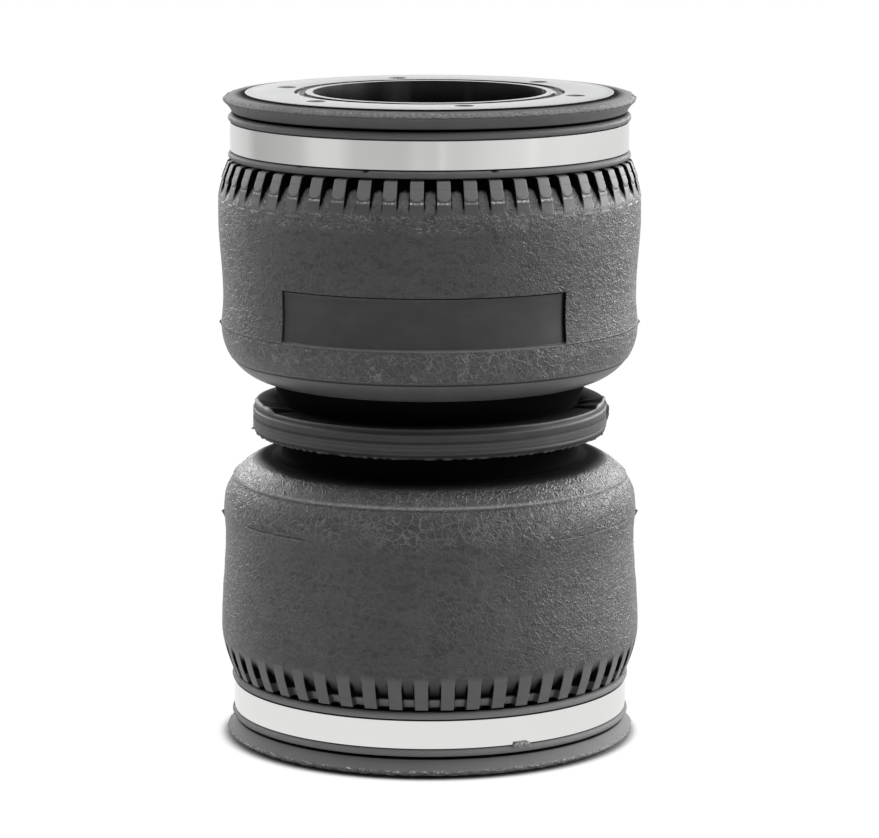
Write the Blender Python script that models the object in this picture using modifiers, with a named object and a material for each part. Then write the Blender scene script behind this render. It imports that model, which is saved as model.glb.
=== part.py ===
"""Double-convolution air bellows for a strut: two clamped end rings, a ribbed rubber bellows and a waist girdle.

Sizes are in metres. +Z is up, the origin is the centre of the lower end face, and the label recess faces -Y.
"""

from math import cos, pi, radians, sin

import bmesh
import bpy
from mathutils import Matrix, Vector

# Gap kept between pieces that touch
FIT = 0.0003

# Whole bellows
FREE_HEIGHT = 0.2002

# End ring, with a face seal and tapped holes
BORE_RADIUS = 0.0358
RING_WIDTH = 0.0206
RING_EDGE = 0.0004
BORE_LIP_WIDTH = 0.0021
SEAL_RADIUS = 0.00145
SEAL_SET = 0.0001
HOLE_COUNT = 6
HOLE_RADIUS = 0.003
HOLE_DEPTH = 0.012
HOLE_LAND = 0.00185
HOLE_TURN = radians(-17.3)
BARB_COUNT = 3
BARB_DEPTH = 0.0008

# Crimp band
BAND_WIDTH = 0.0087
BAND_THICKNESS = 0.0011
BAND_EDGE = 0.0003

# Rubber collar under the band, with a flange over the ring and a bead on each side of the band
GRIP_WALL = 0.003
BEAD_WIDTH = 0.0023
BEAD_HEIGHT = 0.002
FLANGE_REACH = 0.0037
FLANGE_TIP_DEPTH = 0.0023
FLANGE_ROOT_DEPTH = 0.0056
FLANGE_ROOT_RISE = 0.0009
FLANGE_GROOVE_WIDTH = 0.0006
FLANGE_FACE_WIDTH = 0.0045
FLANGE_FACE_DROP = 0.0004
FLANGE_SET = 0.0003

# Bellows wall, from the outside in
COVER_WALL = 0.0024
CARCASS_WALL = 0.0012
LINER_WALL = 0.0012
DAMPER_CLEARANCE = 0.0048

# Outline of one convolution, from the waist to the clamp
WAIST_CLEARANCE = 0.0075
NECK_FILLET = 0.0029
SHOULDER_RISE = 0.0163
SHOULDER_SETBACK = 0.001
BELLY_RUN = 0.009
BELLY_SETBACK = 0.0015
CROWN_BULGE = 0.0037
CROWN_RUN = 0.0137
CROWN_POWER = 1.6
ROOT_STEP = 0.0004

# Ribs and pockets moulded at the clamp
RIB_COUNT = 50
RIB_WIDTH = 0.0041
POCKET_DEPTH = 0.0021
POCKET_FLOOR_RUN = 0.0037
POCKET_RUN = 0.0092
UPPER_RIB_TURN = radians(0.2)
LOWER_RIB_TURN = radians(1.3)

# Recess for a label on the upper convolution, left bare
LABEL_SILL = 0.0015
LABEL_HEIGHT = 0.0153
LABEL_DEPTH = 0.0009
LABEL_ANGLE = radians(83)
LABEL_TURN = radians(-92)

# Waist girdle: a steel hoop in a rubber ring
HOOP_HEIGHT = 0.006
HOOP_THICKNESS = 0.004
GIRDLE_HEIGHT = 0.0094
GIRDLE_WALL = 0.0042
GIRDLE_LAND = 0.0056
GIRDLE_STEP = 0.0002
GIRDLE_DRAFT = 0.0006

# Facets round the axis, and along the fillet, shoulder and crown of a wall
ROUND_SEGMENTS = 32
LAYER_SEGMENTS = 20
HOLE_SEGMENTS = 12
LABEL_SEGMENTS = 12
COVER_STEPS = (2, 4, 3)
LAYER_STEPS = (1, 3, 1)
BEAD_STEPS = 3
SEAL_SIDES = 6
SMOOTH_BELOW = radians(35)
CUT_OVERRUN = 0.002
MERGE = 0.00001

# Radii and depths that follow, seen from the end face inwards
ring_radius = BORE_RADIUS + RING_WIDTH
lip_radius = BORE_RADIUS + BORE_LIP_WIDTH
groove_radius = lip_radius + 2 * SEAL_RADIUS + 2 * FIT
groove_depth = 2 * SEAL_RADIUS + FIT + SEAL_SET
hole_circle_radius = groove_radius + HOLE_LAND + HOLE_RADIUS
collar_bore = ring_radius + FIT
seat_radius = collar_bore + GRIP_WALL
bead_radius = seat_radius + BEAD_HEIGHT
bead_start = FLANGE_ROOT_DEPTH + FLANGE_GROOVE_WIDTH
band_start = bead_start + BEAD_WIDTH + FIT
band_end = band_start + BAND_WIDTH
collar_length = band_end + FIT + BEAD_WIDTH

# Radii and heights that follow, seen from the waist outwards
waist_height = FREE_HEIGHT / 2
wall = COVER_WALL + FIT + CARCASS_WALL + FIT + LINER_WALL
neck_radius = BORE_RADIUS + DAMPER_CLEARANCE + wall
root_radius = bead_radius - ROOT_STEP
crown_radius = root_radius + CROWN_BULGE
neck_top = GIRDLE_HEIGHT / 2 + WAIST_CLEARANCE
belly_start = neck_top + SHOULDER_RISE
root_height = waist_height - collar_length - FIT
crown_height = root_height - CROWN_RUN
hoop_bore = neck_radius + FIT
hoop_radius = hoop_bore + HOOP_THICKNESS
girdle_radius = hoop_radius + FIT + GIRDLE_WALL


def clear_scene():
    for item in list(bpy.data.objects):
        bpy.data.objects.remove(item, do_unlink=True)


def add_collection(name):
    collection = bpy.data.collections.new(name)
    bpy.context.scene.collection.children.link(collection)
    return collection


def add_material(name, colour, roughness, metallic=0.0):
    material = bpy.data.materials.new(name)
    material.use_nodes = True
    shader = material.node_tree.nodes["Principled BSDF"]
    shader.inputs["Base Color"].default_value = (*colour, 1)
    shader.inputs["Roughness"].default_value = roughness
    shader.inputs["Metallic"].default_value = metallic
    return material


def evaluated_mesh(item):
    """The object's mesh with its modifiers applied, shaded smooth between gentle edges."""
    bpy.context.view_layer.update()
    graph = bpy.context.evaluated_depsgraph_get()
    mesh = bpy.data.meshes.new_from_object(item.evaluated_get(graph))
    mesh.shade_smooth()
    mesh.set_sharp_from_angle(angle=SMOOTH_BELOW)
    return mesh


def turned_mesh(name, outline, segments):
    """A closed outline of (radius, height) points, turned round Z."""
    points = [(radius, 0, height) for radius, height in outline]
    edges = [(index, (index + 1) % len(points)) for index in range(len(points))]
    profile = bpy.data.meshes.new(name + "_profile")
    profile.from_pydata(points, edges, [])
    item = bpy.data.objects.new(name + "_profile", profile)
    parts.objects.link(item)
    screw = item.modifiers.new("turn", "SCREW")
    screw.steps = segments
    screw.render_steps = segments
    screw.use_merge_vertices = True
    screw.merge_threshold = MERGE
    mesh = evaluated_mesh(item)
    mesh.name = name
    bpy.data.objects.remove(item)
    return mesh


def sector_solid(solid, outline, first_angle, angle, steps):
    """Adds to a bmesh the solid that an outline sweeps through an angle about Z."""
    start = Matrix.Rotation(first_angle, 3, "Z")
    corners = [solid.verts.new(start @ Vector((radius, 0, height))) for radius, height in outline]
    face = solid.faces.new(corners)
    geometry = [*face.verts, *face.edges, face]
    bmesh.ops.spin(solid, geom=geometry, cent=(0, 0, 0), axis=(0, 0, 1), angle=angle, steps=steps)


def add_cutter(name, solid, frame, flipped=False):
    """A helper object in a frame, from a bmesh that it frees."""
    bmesh.ops.recalc_face_normals(solid, faces=solid.faces[:])
    mesh = bpy.data.meshes.new(name)
    solid.to_mesh(mesh)
    solid.free()
    item = bpy.data.objects.new(name, mesh)
    cutters.objects.link(item)
    item.parent = frame
    item.rotation_euler.x = pi if flipped else 0
    item.hide_render = True
    item.display_type = "WIRE"
    return item


def cut(item, cutter):
    """Takes the cutter out of the object, in a mesh of its own."""
    boolean = item.modifiers.new("cut", "BOOLEAN")
    boolean.operation = "DIFFERENCE"
    boolean.solver = "EXACT"
    boolean.object = cutter
    mesh = evaluated_mesh(item)
    mesh.name = item.name
    item.modifiers.clear()
    item.data = mesh


def add_frame(name, height, parent=None):
    """An empty on the bellows' axis that carries one moving body."""
    frame = bpy.data.objects.new(name, None)
    parts.objects.link(frame)
    frame.parent = parent
    frame.location.z = height
    return frame


def add_part(name, mesh, material, frame, flipped=False, turn=0.0):
    """A named piece in a frame; a flipped one is turned over about X."""
    item = bpy.data.objects.new(name, mesh.copy())
    item.data.name = name
    item.data.materials.clear()
    item.data.materials.append(material)
    parts.objects.link(item)
    item.parent = frame
    item.rotation_euler = (pi if flipped else 0, 0, turn)
    return item


def arc(centre, radii, first_angle, last_angle, steps):
    """Points (radius, height) along an ellipse's arc, both ends included."""
    points = []
    for index in range(steps + 1):
        angle = first_angle + (last_angle - first_angle) * index / steps
        points.append((centre[0] + radii[0] * cos(angle), centre[1] + radii[1] * sin(angle)))
    return points


def end_ring_outline():
    """Section of the machined end ring, its face at height 0."""
    pitch = BAND_WIDTH / BARB_COUNT
    outline = [(ring_radius - RING_EDGE, 0), (ring_radius, -RING_EDGE)]
    for barb in range(BARB_COUNT):
        depth = band_start + barb * pitch
        outline += [(ring_radius, -depth), (ring_radius - BARB_DEPTH, -depth)]
    outline += [(ring_radius, -band_end), (ring_radius, RING_EDGE - collar_length)]
    outline += [(ring_radius - RING_EDGE, -collar_length), (BORE_RADIUS, -collar_length)]
    outline += [(BORE_RADIUS, -RING_EDGE), (BORE_RADIUS + RING_EDGE, 0)]
    outline += [(lip_radius, 0), (lip_radius, -groove_depth)]
    return outline + [(groove_radius, -groove_depth), (groove_radius, 0)]


def band_outline():
    """Section of the crimp band, with eased outer edges."""
    inside = seat_radius + FIT
    outside = inside + BAND_THICKNESS
    outline = [(inside, -band_start), (outside - BAND_EDGE, -band_start)]
    outline += [(outside, -band_start - BAND_EDGE), (outside, BAND_EDGE - band_end)]
    return outline + [(outside - BAND_EDGE, -band_end), (inside, -band_end)]


def bead(start):
    """Half-round bead on the band's seat, from a depth downwards."""
    middle = -start - BEAD_WIDTH / 2
    return arc((seat_radius, middle), (BEAD_HEIGHT, BEAD_WIDTH / 2), pi / 2, -pi / 2, BEAD_STEPS)


def collar_outline():
    """Section of the rubber that the band clamps on the ring, and of its flange."""
    face_edge = collar_bore + FLANGE_FACE_WIDTH
    outline = [(collar_bore, -FLANGE_SET), (face_edge, -FLANGE_SET - FLANGE_FACE_DROP)]
    outline.append((seat_radius + FLANGE_REACH, -FLANGE_TIP_DEPTH))
    outline.append((seat_radius + FLANGE_ROOT_RISE, -FLANGE_ROOT_DEPTH))
    outline += bead(bead_start)
    outline += bead(band_end + FIT)
    return outline + [(collar_bore, -collar_length)]


def crown_line(root, steps):
    """The wall's line from the crown to the clamp, where it ends at a given radius."""
    points = []
    for index in range(steps + 1):
        share = index / steps
        drop = (crown_radius - root) * share**CROWN_POWER
        points.append((crown_radius - drop, crown_height + CROWN_RUN * share))
    return points


def wall_line(root, steps):
    """The convolution's outer line, from the waist plane up to the clamp."""
    fillet_steps, shoulder_steps, crown_steps = steps
    centre_radius = neck_radius + NECK_FILLET
    shoulder_radii = (crown_radius - SHOULDER_SETBACK - centre_radius, SHOULDER_RISE)
    fillet_centre = (centre_radius, neck_top - NECK_FILLET)
    line = [(neck_radius, FIT / 2)]
    line += arc(fillet_centre, (NECK_FILLET, NECK_FILLET), pi, pi / 2, fillet_steps)
    line += arc((centre_radius, belly_start), shoulder_radii, -pi / 2, 0, shoulder_steps)[1:]
    line.append((crown_radius - BELLY_SETBACK, belly_start + BELLY_RUN))
    return line + crown_line(root, crown_steps)


def inset(line, distance):
    """The line moved towards the axis by a distance, with its two ends kept at their heights."""
    moved = []
    for index, (radius, height) in enumerate(line):
        before = Vector(line[max(index - 1, 0)])
        after = Vector(line[min(index + 1, len(line) - 1)])
        here = Vector((radius, height))
        along = (here - before).normalized() + (after - here).normalized()
        inward = Vector((-along.y, along.x)).normalized()
        if index in (0, len(line) - 1):
            moved.append((radius - distance, height))
            continue
        edge = (after - here).normalized()
        stretch = 1 / max(inward.dot(Vector((-edge.y, edge.x))), 0.5)
        moved.append(tuple(here + inward * distance * stretch))
    return moved


def layer_outline(outer, inner):
    """Section of one layer of the wall, between two distances in from the wall's own line."""
    line = wall_line(root_radius - POCKET_DEPTH, LAYER_STEPS)
    return inset(line, outer)[::-1] + inset(line, inner)


def cover_outline():
    """Section of the outer rubber, whose thick end holds the ribs."""
    outside = wall_line(root_radius, COVER_STEPS)
    inside = inset(wall_line(root_radius - POCKET_DEPTH, LAYER_STEPS), COVER_WALL)
    return outside[::-1] + inside


def pocket_outline():
    """Section of one pocket between two ribs, open to the clamp and running out on the crown."""
    floor = root_radius - POCKET_DEPTH
    floor_end = root_height - POCKET_FLOOR_RUN
    share = 1 - POCKET_FLOOR_RUN / CROWN_RUN
    crest = crown_radius - CROWN_BULGE * share**CROWN_POWER
    run_out = root_height - POCKET_RUN
    outside = crown_radius + CUT_OVERRUN
    outline = [(outside, root_height + CUT_OVERRUN), (floor, root_height + CUT_OVERRUN)]
    outline += [(floor, root_height), (crest - POCKET_DEPTH, floor_end)]
    return outline + [(crown_radius, run_out), (outside, run_out)]


def add_pockets(convolution, turn, flipped):
    """Cuts the ring of pockets, one in the middle of each facet."""
    pitch = 2 * pi / RIB_COUNT
    width = pitch - RIB_WIDTH / crown_radius
    solid = bmesh.new()
    for index in range(RIB_COUNT):
        start = turn + (index + 0.5) * pitch - width / 2
        sector_solid(solid, pocket_outline(), start, width, 1)
    cutter = add_cutter(convolution.name + "_pockets", solid, convolution.parent, flipped)
    cut(convolution, cutter)


def add_label_recess(convolution):
    """Cuts the shallow window on the front, with a bare floor."""
    floor = crown_radius - BELLY_SETBACK - LABEL_DEPTH
    low = belly_start + LABEL_SILL
    outside = crown_radius + CUT_OVERRUN
    outline = [(floor, low), (outside, low), (outside, low + LABEL_HEIGHT), (floor, low + LABEL_HEIGHT)]
    solid = bmesh.new()
    sector_solid(solid, outline, LABEL_TURN - LABEL_ANGLE / 2, LABEL_ANGLE, LABEL_SEGMENTS)
    cutter = add_cutter("label_recess", solid, convolution.parent)
    cut(convolution, cutter)


def hoop_outline():
    """Section of the steel hoop, round the bellows' neck."""
    half = HOOP_HEIGHT / 2
    return [(hoop_bore, half), (hoop_radius, half), (hoop_radius, -half), (hoop_bore, -half)]


def girdle_outline():
    """Section of the rubber ring over the hoop, open towards the neck."""
    top = GIRDLE_HEIGHT / 2
    land = GIRDLE_LAND / 2
    cavity = HOOP_HEIGHT / 2 + FIT
    upper = [(hoop_bore, top), (girdle_radius - GIRDLE_DRAFT, top)]
    upper += [(girdle_radius - GIRDLE_STEP, land + GIRDLE_STEP), (girdle_radius, land)]
    lower = [(radius, -height) for radius, height in upper[::-1]]
    inside = [(hoop_bore, -cavity), (hoop_radius + FIT, -cavity)]
    return upper + lower + inside + [(radius, -height) for radius, height in inside[::-1]]


def seal_mesh():
    """The O-ring that seals on the end face, centred in its groove."""
    middle = lip_radius + FIT + SEAL_RADIUS
    depth = groove_depth - FIT - SEAL_RADIUS
    section = arc((middle, -depth), (SEAL_RADIUS, SEAL_RADIUS), pi, -pi, SEAL_SIDES)[:-1]
    return turned_mesh("face_seal", section, ROUND_SEGMENTS)


def hole_cutter(name, frame, flipped):
    """The ring of blind holes that the mating plate's screws go into."""
    solid = bmesh.new()
    length = HOLE_DEPTH + CUT_OVERRUN
    for index in range(HOLE_COUNT):
        angle = HOLE_TURN + 2 * pi * index / HOLE_COUNT
        middle = Vector((hole_circle_radius * cos(angle), hole_circle_radius * sin(angle), 0))
        middle.z = CUT_OVERRUN - length / 2
        place = Matrix.Translation(middle)
        bmesh.ops.create_cone(
            solid,
            cap_ends=True,
            segments=HOLE_SEGMENTS,
            radius1=HOLE_RADIUS,
            radius2=HOLE_RADIUS,
            depth=length,
            matrix=place,
        )
    return add_cutter(name, solid, frame, flipped)


def add_end(side, frame, flipped):
    """The four pieces of one clamped end."""
    ring = add_part(side + "_end_plate", ring_mesh, aluminium, frame, flipped)
    cut(ring, hole_cutter(side + "_plate_holes", frame, flipped))
    add_part(side + "_crimp_band", band_mesh, stainless, frame, flipped)
    add_part(side + "_bead_collar", collar_mesh, rubber, frame, flipped)
    add_part(side + "_face_seal", seal, seal_rubber, frame, flipped)


def add_convolution(side, frame, turn, flipped):
    """The three layers of one convolution's wall."""
    cover = add_part(side + "_convolution", cover_mesh, rubber, frame, flipped, turn)
    add_pockets(cover, -turn if flipped else turn, flipped)
    add_part(side + "_cord_carcass", carcass_mesh, cord, frame, flipped)
    add_part(side + "_inner_liner", liner_mesh, liner_rubber, frame, flipped)
    return cover


clear_scene()
parts = add_collection("air_bellows_actuator")
cutters = add_collection("cutters")

rubber = add_material("cover_rubber", (0.052, 0.053, 0.055), 0.5)
liner_rubber = add_material("liner_rubber", (0.02, 0.02, 0.021), 0.6)
cord = add_material("rubberised_cord", (0.12, 0.105, 0.085), 0.85)
seal_rubber = add_material("seal_rubber", (0.02, 0.02, 0.02), 0.4)
aluminium = add_material("machined_aluminium", (0.72, 0.73, 0.74), 0.4, 1.0)
stainless = add_material("polished_stainless", (0.78, 0.78, 0.77), 0.18, 1.0)
hoop_steel = add_material("hoop_steel", (0.4, 0.41, 0.42), 0.45, 1.0)

carcass_inset = COVER_WALL + FIT
liner_inset = carcass_inset + CARCASS_WALL + FIT
ring_mesh = turned_mesh("end_ring", end_ring_outline(), ROUND_SEGMENTS)
band_mesh = turned_mesh("crimp_band", band_outline(), ROUND_SEGMENTS)
collar_mesh = turned_mesh("bead_collar", collar_outline(), ROUND_SEGMENTS)
cover_mesh = turned_mesh("convolution", cover_outline(), RIB_COUNT)
carcass_mesh = turned_mesh(
    "cord_carcass", layer_outline(carcass_inset, carcass_inset + CARCASS_WALL), LAYER_SEGMENTS
)
liner_mesh = turned_mesh("inner_liner", layer_outline(liner_inset, liner_inset + LINER_WALL), LAYER_SEGMENTS)
seal = seal_mesh()

lower_end_frame = add_frame("lower_end_frame", 0)
lower_bellows_frame = add_frame("lower_bellows_frame", waist_height, lower_end_frame)
girdle_frame = add_frame("girdle_frame", 0, lower_bellows_frame)
upper_bellows_frame = add_frame("upper_bellows_frame", 0, girdle_frame)
upper_end_frame = add_frame("upper_end_frame", waist_height, upper_bellows_frame)

add_end("lower", lower_end_frame, True)
add_convolution("lower", lower_bellows_frame, LOWER_RIB_TURN, True)
add_part("girdle_hoop", turned_mesh("hoop", hoop_outline(), ROUND_SEGMENTS), hoop_steel, girdle_frame)
add_part("girdle_cover", turned_mesh("girdle", girdle_outline(), ROUND_SEGMENTS), rubber, girdle_frame)
upper_convolution = add_convolution("upper", upper_bellows_frame, UPPER_RIB_TURN, False)
add_label_recess(upper_convolution)
add_end("upper", upper_end_frame, False)
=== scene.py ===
"""Dresses the air bellows in its rubber, bands and end rings, and sets it in a plain studio.

Sizes are in metres. s is a height measured from the waist plane towards the nearer end of the bellows.
"""

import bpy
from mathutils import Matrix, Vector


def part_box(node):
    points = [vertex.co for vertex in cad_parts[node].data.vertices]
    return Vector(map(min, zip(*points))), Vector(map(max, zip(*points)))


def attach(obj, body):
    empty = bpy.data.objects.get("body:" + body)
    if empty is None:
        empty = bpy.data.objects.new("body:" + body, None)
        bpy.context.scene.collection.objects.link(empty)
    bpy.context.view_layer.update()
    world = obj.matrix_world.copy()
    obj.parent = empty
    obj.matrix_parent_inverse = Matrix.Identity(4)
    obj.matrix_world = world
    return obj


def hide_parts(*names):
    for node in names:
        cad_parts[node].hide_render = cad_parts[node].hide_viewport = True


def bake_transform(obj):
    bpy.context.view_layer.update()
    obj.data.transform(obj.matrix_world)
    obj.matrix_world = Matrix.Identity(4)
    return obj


bl_info = {
    "name": "Air bellows",
    "version": (1, 0, 0),
    "blender": (4, 5, 0),
    "location": "3D View > Sidebar > Bellows",
    "description": "Builds a double-convolution air bellows round its packed frame",
    "category": "Object",
}

from math import pi, radians, tau

import bmesh
import bpy
import numpy as np
from bpy.props import FloatProperty, FloatVectorProperty, IntProperty, PointerProperty
from bpy.types import Operator, Panel, PropertyGroup
from mathutils import Matrix, Vector

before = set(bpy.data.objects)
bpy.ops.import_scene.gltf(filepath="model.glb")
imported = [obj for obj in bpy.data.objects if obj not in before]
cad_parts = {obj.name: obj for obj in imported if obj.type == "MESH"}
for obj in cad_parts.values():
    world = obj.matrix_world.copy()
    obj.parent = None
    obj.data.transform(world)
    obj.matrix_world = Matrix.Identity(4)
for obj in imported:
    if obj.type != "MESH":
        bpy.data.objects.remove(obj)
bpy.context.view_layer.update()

SIDES = ("lower", "upper")
REST = "rest_place"
GRAIN = "grain"
# Share of wear and painted light: lighter flash, scuffs and dust, painted highlights and painted light on the
# rubber, and painted shade on the bands' edges
WEAR_AND_PAINTED_LIGHT = "wear"
# Share of painted shade: dark, dull rubber that stands in for the shade in pockets, gaps, grooves and the
# neck
PAINTED_SHADE = "hollow"
CRUMPLE = "crumple"
WHITE = (1.0, 1.0, 1.0)
BLACK = (0.0, 0.0, 0.0)
NEAR_BLACK = (0.002, 0.002, 0.002)
METAL = {"Metallic": 1.0}

# Heights of the lines that the moulds leave on the walls
UPPER_STEP = 0.0188
LOWER_RIDGE = 0.0181
LOWER_SCAR = 0.0293
NIBS = {"upper": 0.029, "lower": 0.0306}

# Mesh columns beside each rib, as shares of half its width and of its draft
RIB_TOP = (0.5, 0.86, 1)
RIB_SIDE = (0.14, 0.6, 1, 2.6)

# Notches in the upper collar under its band: angle in degrees, depth
NOTCHES = ((-107.9, 0.0018), (-71.9, 0.0018), (-129.0, 0.0007))

# Lamps: name, place, width and height, watts
LAMPS = (
    ("right_box", (1.2, 0.1, 0.66), (1.2, 0.75), 15),
    ("right_wall", (1.06, 0.74, 0.48), (1.2, 0.4), 9),
    ("left_box", (-1.1, 0.3, 0.8), (0.8, 0.8), 7),
    ("left_wall", (-0.62, 1.15, 0.46), (0.8, 0.4), 7.5),
    ("back_wall", (0.72, 1.2, 0.48), (0.8, 0.4), 5),
    ("top_box", (0.1, -0.15, 1.3), (0.9, 0.9), 12),
)

# Grey of the surroundings that gloss sees near the horizon: share of a turn, level
HORIZON = (
    (0.0, 0.86), (0.1, 0.8), (0.14, 0.72), (0.17, 0.5), (0.24, 0.55), (0.28, 0.62), (0.305, 0.8), (0.35, 0.8),
    (0.38, 0.62), (0.46, 0.6), (0.48, 0.7), (0.512, 0.66), (0.519, 0.86), (0.526, 0.72), (0.55, 0.7),
    (0.6, 0.82), (0.655, 0.88), (0.67, 0.98), (0.685, 0.89), (0.74, 0.9), (0.9, 0.84), (1.0, 0.86),
)


def widest(node):
    """Radius that a round node reaches along both X and Y."""
    low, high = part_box(node)
    return min(high.x, high.y, -low.x, -low.y)


def depths(node):
    """Where an upper node starts and ends, measured down from the upper end face."""
    low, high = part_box(node)
    return top_face - high.z, top_face - low.z


top_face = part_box("upper_end_plate")[1].z
waist = top_face / 2
ring_radius = widest("upper_end_plate")
band_radius = widest("upper_crimp_band")
flange_radius = widest("upper_bead_collar")
crown_limit = widest("upper_convolution")
girdle_limit = widest("girdle_cover")
girdle_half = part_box("girdle_cover")[1].z - waist
band_start, band_end = depths("upper_crimp_band")
collar_end = depths("upper_bead_collar")[1]
wall_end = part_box("upper_convolution")[1].z - waist


def length(name, default, description):
    return FloatProperty(name=name, description=description, default=default, unit="LENGTH", precision=5)


def angle(name, default, description):
    return FloatProperty(name=name, description=description, default=radians(default), unit="ROTATION")


def share(name, default, description):
    return FloatProperty(name=name, description=description, default=default, min=0.0, max=1.0)


def colour(name, default, description):
    return FloatVectorProperty(
        name=name, description=description, default=default, subtype="COLOR", min=0.0, max=1.0
    )


class WallSizes(PropertyGroup):
    """The line that both convolutions follow, from the waist to the clamp."""

    neck_radius: length("Neck radius", 0.046, "Outside of the wall inside the girdle")
    neck_fillet: length("Neck fillet", 0.0029, "How far the neck draws out where it meets the shoulder")
    neck_top: length("Neck top", 0.0122, "Distance of the shoulder from the waist")
    shoulder_rise: length("Shoulder rise", 0.0163, "Height of the shoulder's round")
    shoulder_setback: length("Shoulder setback", 0.001, "How far the shoulder stays inside the crown")
    belly_run: length("Belly run", 0.009, "Distance from the shoulder to the flattest part of the belly")
    belly_setback: length("Belly setback", 0.00155, "How far the belly stays inside the crown")
    crown_run: length("Crown run", 0.0137, "Distance from the crown to the clamp")
    crown_drop: length("Crown drop", 0.0037, "How far the wall draws in from the crown to the clamp")
    crown_power: FloatProperty(name="Crown power", description="Bend of the crown", default=1.6)
    cover: length("Outer rubber", 0.0024, "Thickness of the grained outer rubber")
    cord: length("Cord", 0.0012, "Thickness of the cord plies")
    liner: length("Liner", 0.0012, "Thickness of the inner rubber")
    layer_gap: length("Layer gap", 0.0001, "Space kept between the layers of the wall")
    end_groove: length("End groove", 0.0013, "How far the wall's end draws in beside the clamp")


class RibSizes(PropertyGroup):
    """Ribs and pockets moulded at each clamp."""

    count: IntProperty(name="Ribs", description="Ribs round each clamp", default=50, min=3)
    width: length("Rib width", 0.0041, "Width of a rib round the wall")
    draft: length("Draft", 0.0003, "Width of a pocket's sloping side")
    depth: length("Pocket depth", 0.0035, "Depth of a pocket beside the clamp")
    foot: length("Pocket foot", 0.0112, "Distance from the clamp at which a pocket runs out")
    upper_turn: angle("Upper turn", 0.2, "Angle of the upper rib nearest +X")
    lower_turn: angle("Lower turn", 1.3, "Angle of the lower rib nearest +X")
    head: length("Head", 0.006, "Length of the raised head of an upper rib")
    head_rise: length("Head rise", 0.0003, "How far the head stands proud")
    head_crease: length("Head crease", 0.0028, "Distance from the clamp of the crease across a head")
    tongue: length("Tongue", 0.0036, "Distance from the clamp at which grained rubber rises between ribs")
    tongue_depth: length("Tongue depth", 0.0022, "Depth of that rubber where it drops into the pocket")
    arch: length("Arch", 0.0011, "How far a head's foot and a tongue's top curve")
    web: length("Web", 0.0036, "Distance from the clamp at which a lower pocket has a web")
    web_depth: length("Web depth", 0.0022, "Depth of the web under the ribs")


class LabelSizes(PropertyGroup):
    """The bare recess for a label on the upper convolution."""

    sill: length("Sill", 0.0294, "Distance of the recess from the waist")
    height: length("Height", 0.0159, "Height of the recess")
    depth: length("Depth", 0.0009, "Depth of the recess")
    start: angle("Start", -133.5, "Angle of its left edge")
    end: angle("End", -50.5, "Angle of its right edge")


class ClampSizes(PropertyGroup):
    """The clamped end: ring, collar and band."""

    bore: length("Bore radius", 0.0358, "Radius of the bore through the ring")
    lip: length("Bore lip", 0.0021, "Width of the lip between the bore and the seal's groove")
    seal_radius: length("Seal radius", 0.00145, "Radius of the seal's section")
    groove_depth: length("Groove depth", 0.0033, "Depth of the seal's groove")
    edge: length("Edge", 0.00012, "Rounding of machined edges")
    hole_circle: length("Hole circle", 0.04625, "Radius of the circle of holes")
    hole: length("Hole", 0.003, "Radius of a tapped hole")
    hole_depth: length("Hole depth", 0.012, "Depth of a tapped hole")
    hole_turn: angle("Hole turn", -17.3, "Angle of the first hole")
    holes: IntProperty(name="Holes", description="Tapped holes in a ring", default=6, min=1)
    thread: length("Thread", 0.001, "Pitch of the holes' thread")
    seat: length("Seat", 0.0597, "Radius of the rubber under the band")
    bead: length("Bead", 0.002, "How far a bead stands out of the seat")
    band_crown: length("Band crown", 0.00008, "How far the band's middle bulges")
    band_roll: length("Band roll", 0.00014, "Rounding of the band's edges")
    flange_tip: length("Flange tip", 0.0023, "Depth of the flange's tip below the end face")
    flange_root: length("Flange root", 0.0056, "Depth at which the flange meets its root")
    flange_bevel: length("Flange bevel", 0.0612, "Radius at which the flange's flat face ends")


class RubberLook(PropertyGroup):
    """Finish of the moulded rubber."""

    tone: colour("Tone", (0.016, 0.016, 0.0164), "Colour of the rubber")
    # This light tone is also the colour of painted light and painted highlights
    worn_and_painted_light: colour("Worn tone", (0.45, 0.45, 0.44), "Colour of flash, scuffed edges and dust")
    roughness: share("Roughness", 0.39, "Roughness of the rubber")
    cell: length("Cell", 0.0024, "Size of the grain's cells")
    vein_height: length("Vein height", 0.00023, "Height of the veins between cells")
    dimple_height: length("Dimple height", 0.00018, "Height of the soft dimples under the veins")
    lump_height: length("Lump height", 0.00012, "Height of the lumps in grained rubber")
    broad_height: length("Broad height", 0.0004, "Height of the surface's slow rise and fall")
    pore_height: length("Pore height", 0.00002, "Height of the finest pores")
    curl_height: length("Curl height", 0.00012, "Height of the crumpled flash")
    # The lightness of the veins and of the tops of the dimples is a painted highlight on the grain's relief
    vein_painted_light: share("Vein light", 0.17, "How much lighter the veins are")
    web_painted_light: share("Web light", 0.006, "How much lighter the veins are where the grain is faint")
    dust_light: share("Dust light", 0.02, "How much lighter dusty patches are")
    dimple_painted_light: share("Mottle light", 0.028, "How much lighter the tops of the dimples are")
    curl_light: share("Curl light", 0.42, "How much lighter crumpled flash is")


class MetalLook(PropertyGroup):
    """Finish of the rings and bands."""

    ring_tone: colour("Ring tone", (0.76, 0.765, 0.77), "Colour of the machined rings")
    band_tone: colour("Band tone", (0.8, 0.8, 0.79), "Colour of the polished bands")
    ring_roughness: share("Ring roughness", 0.36, "Roughness of the machined faces")
    band_roughness: share("Band roughness", 0.12, "Roughness of the bands")


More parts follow.
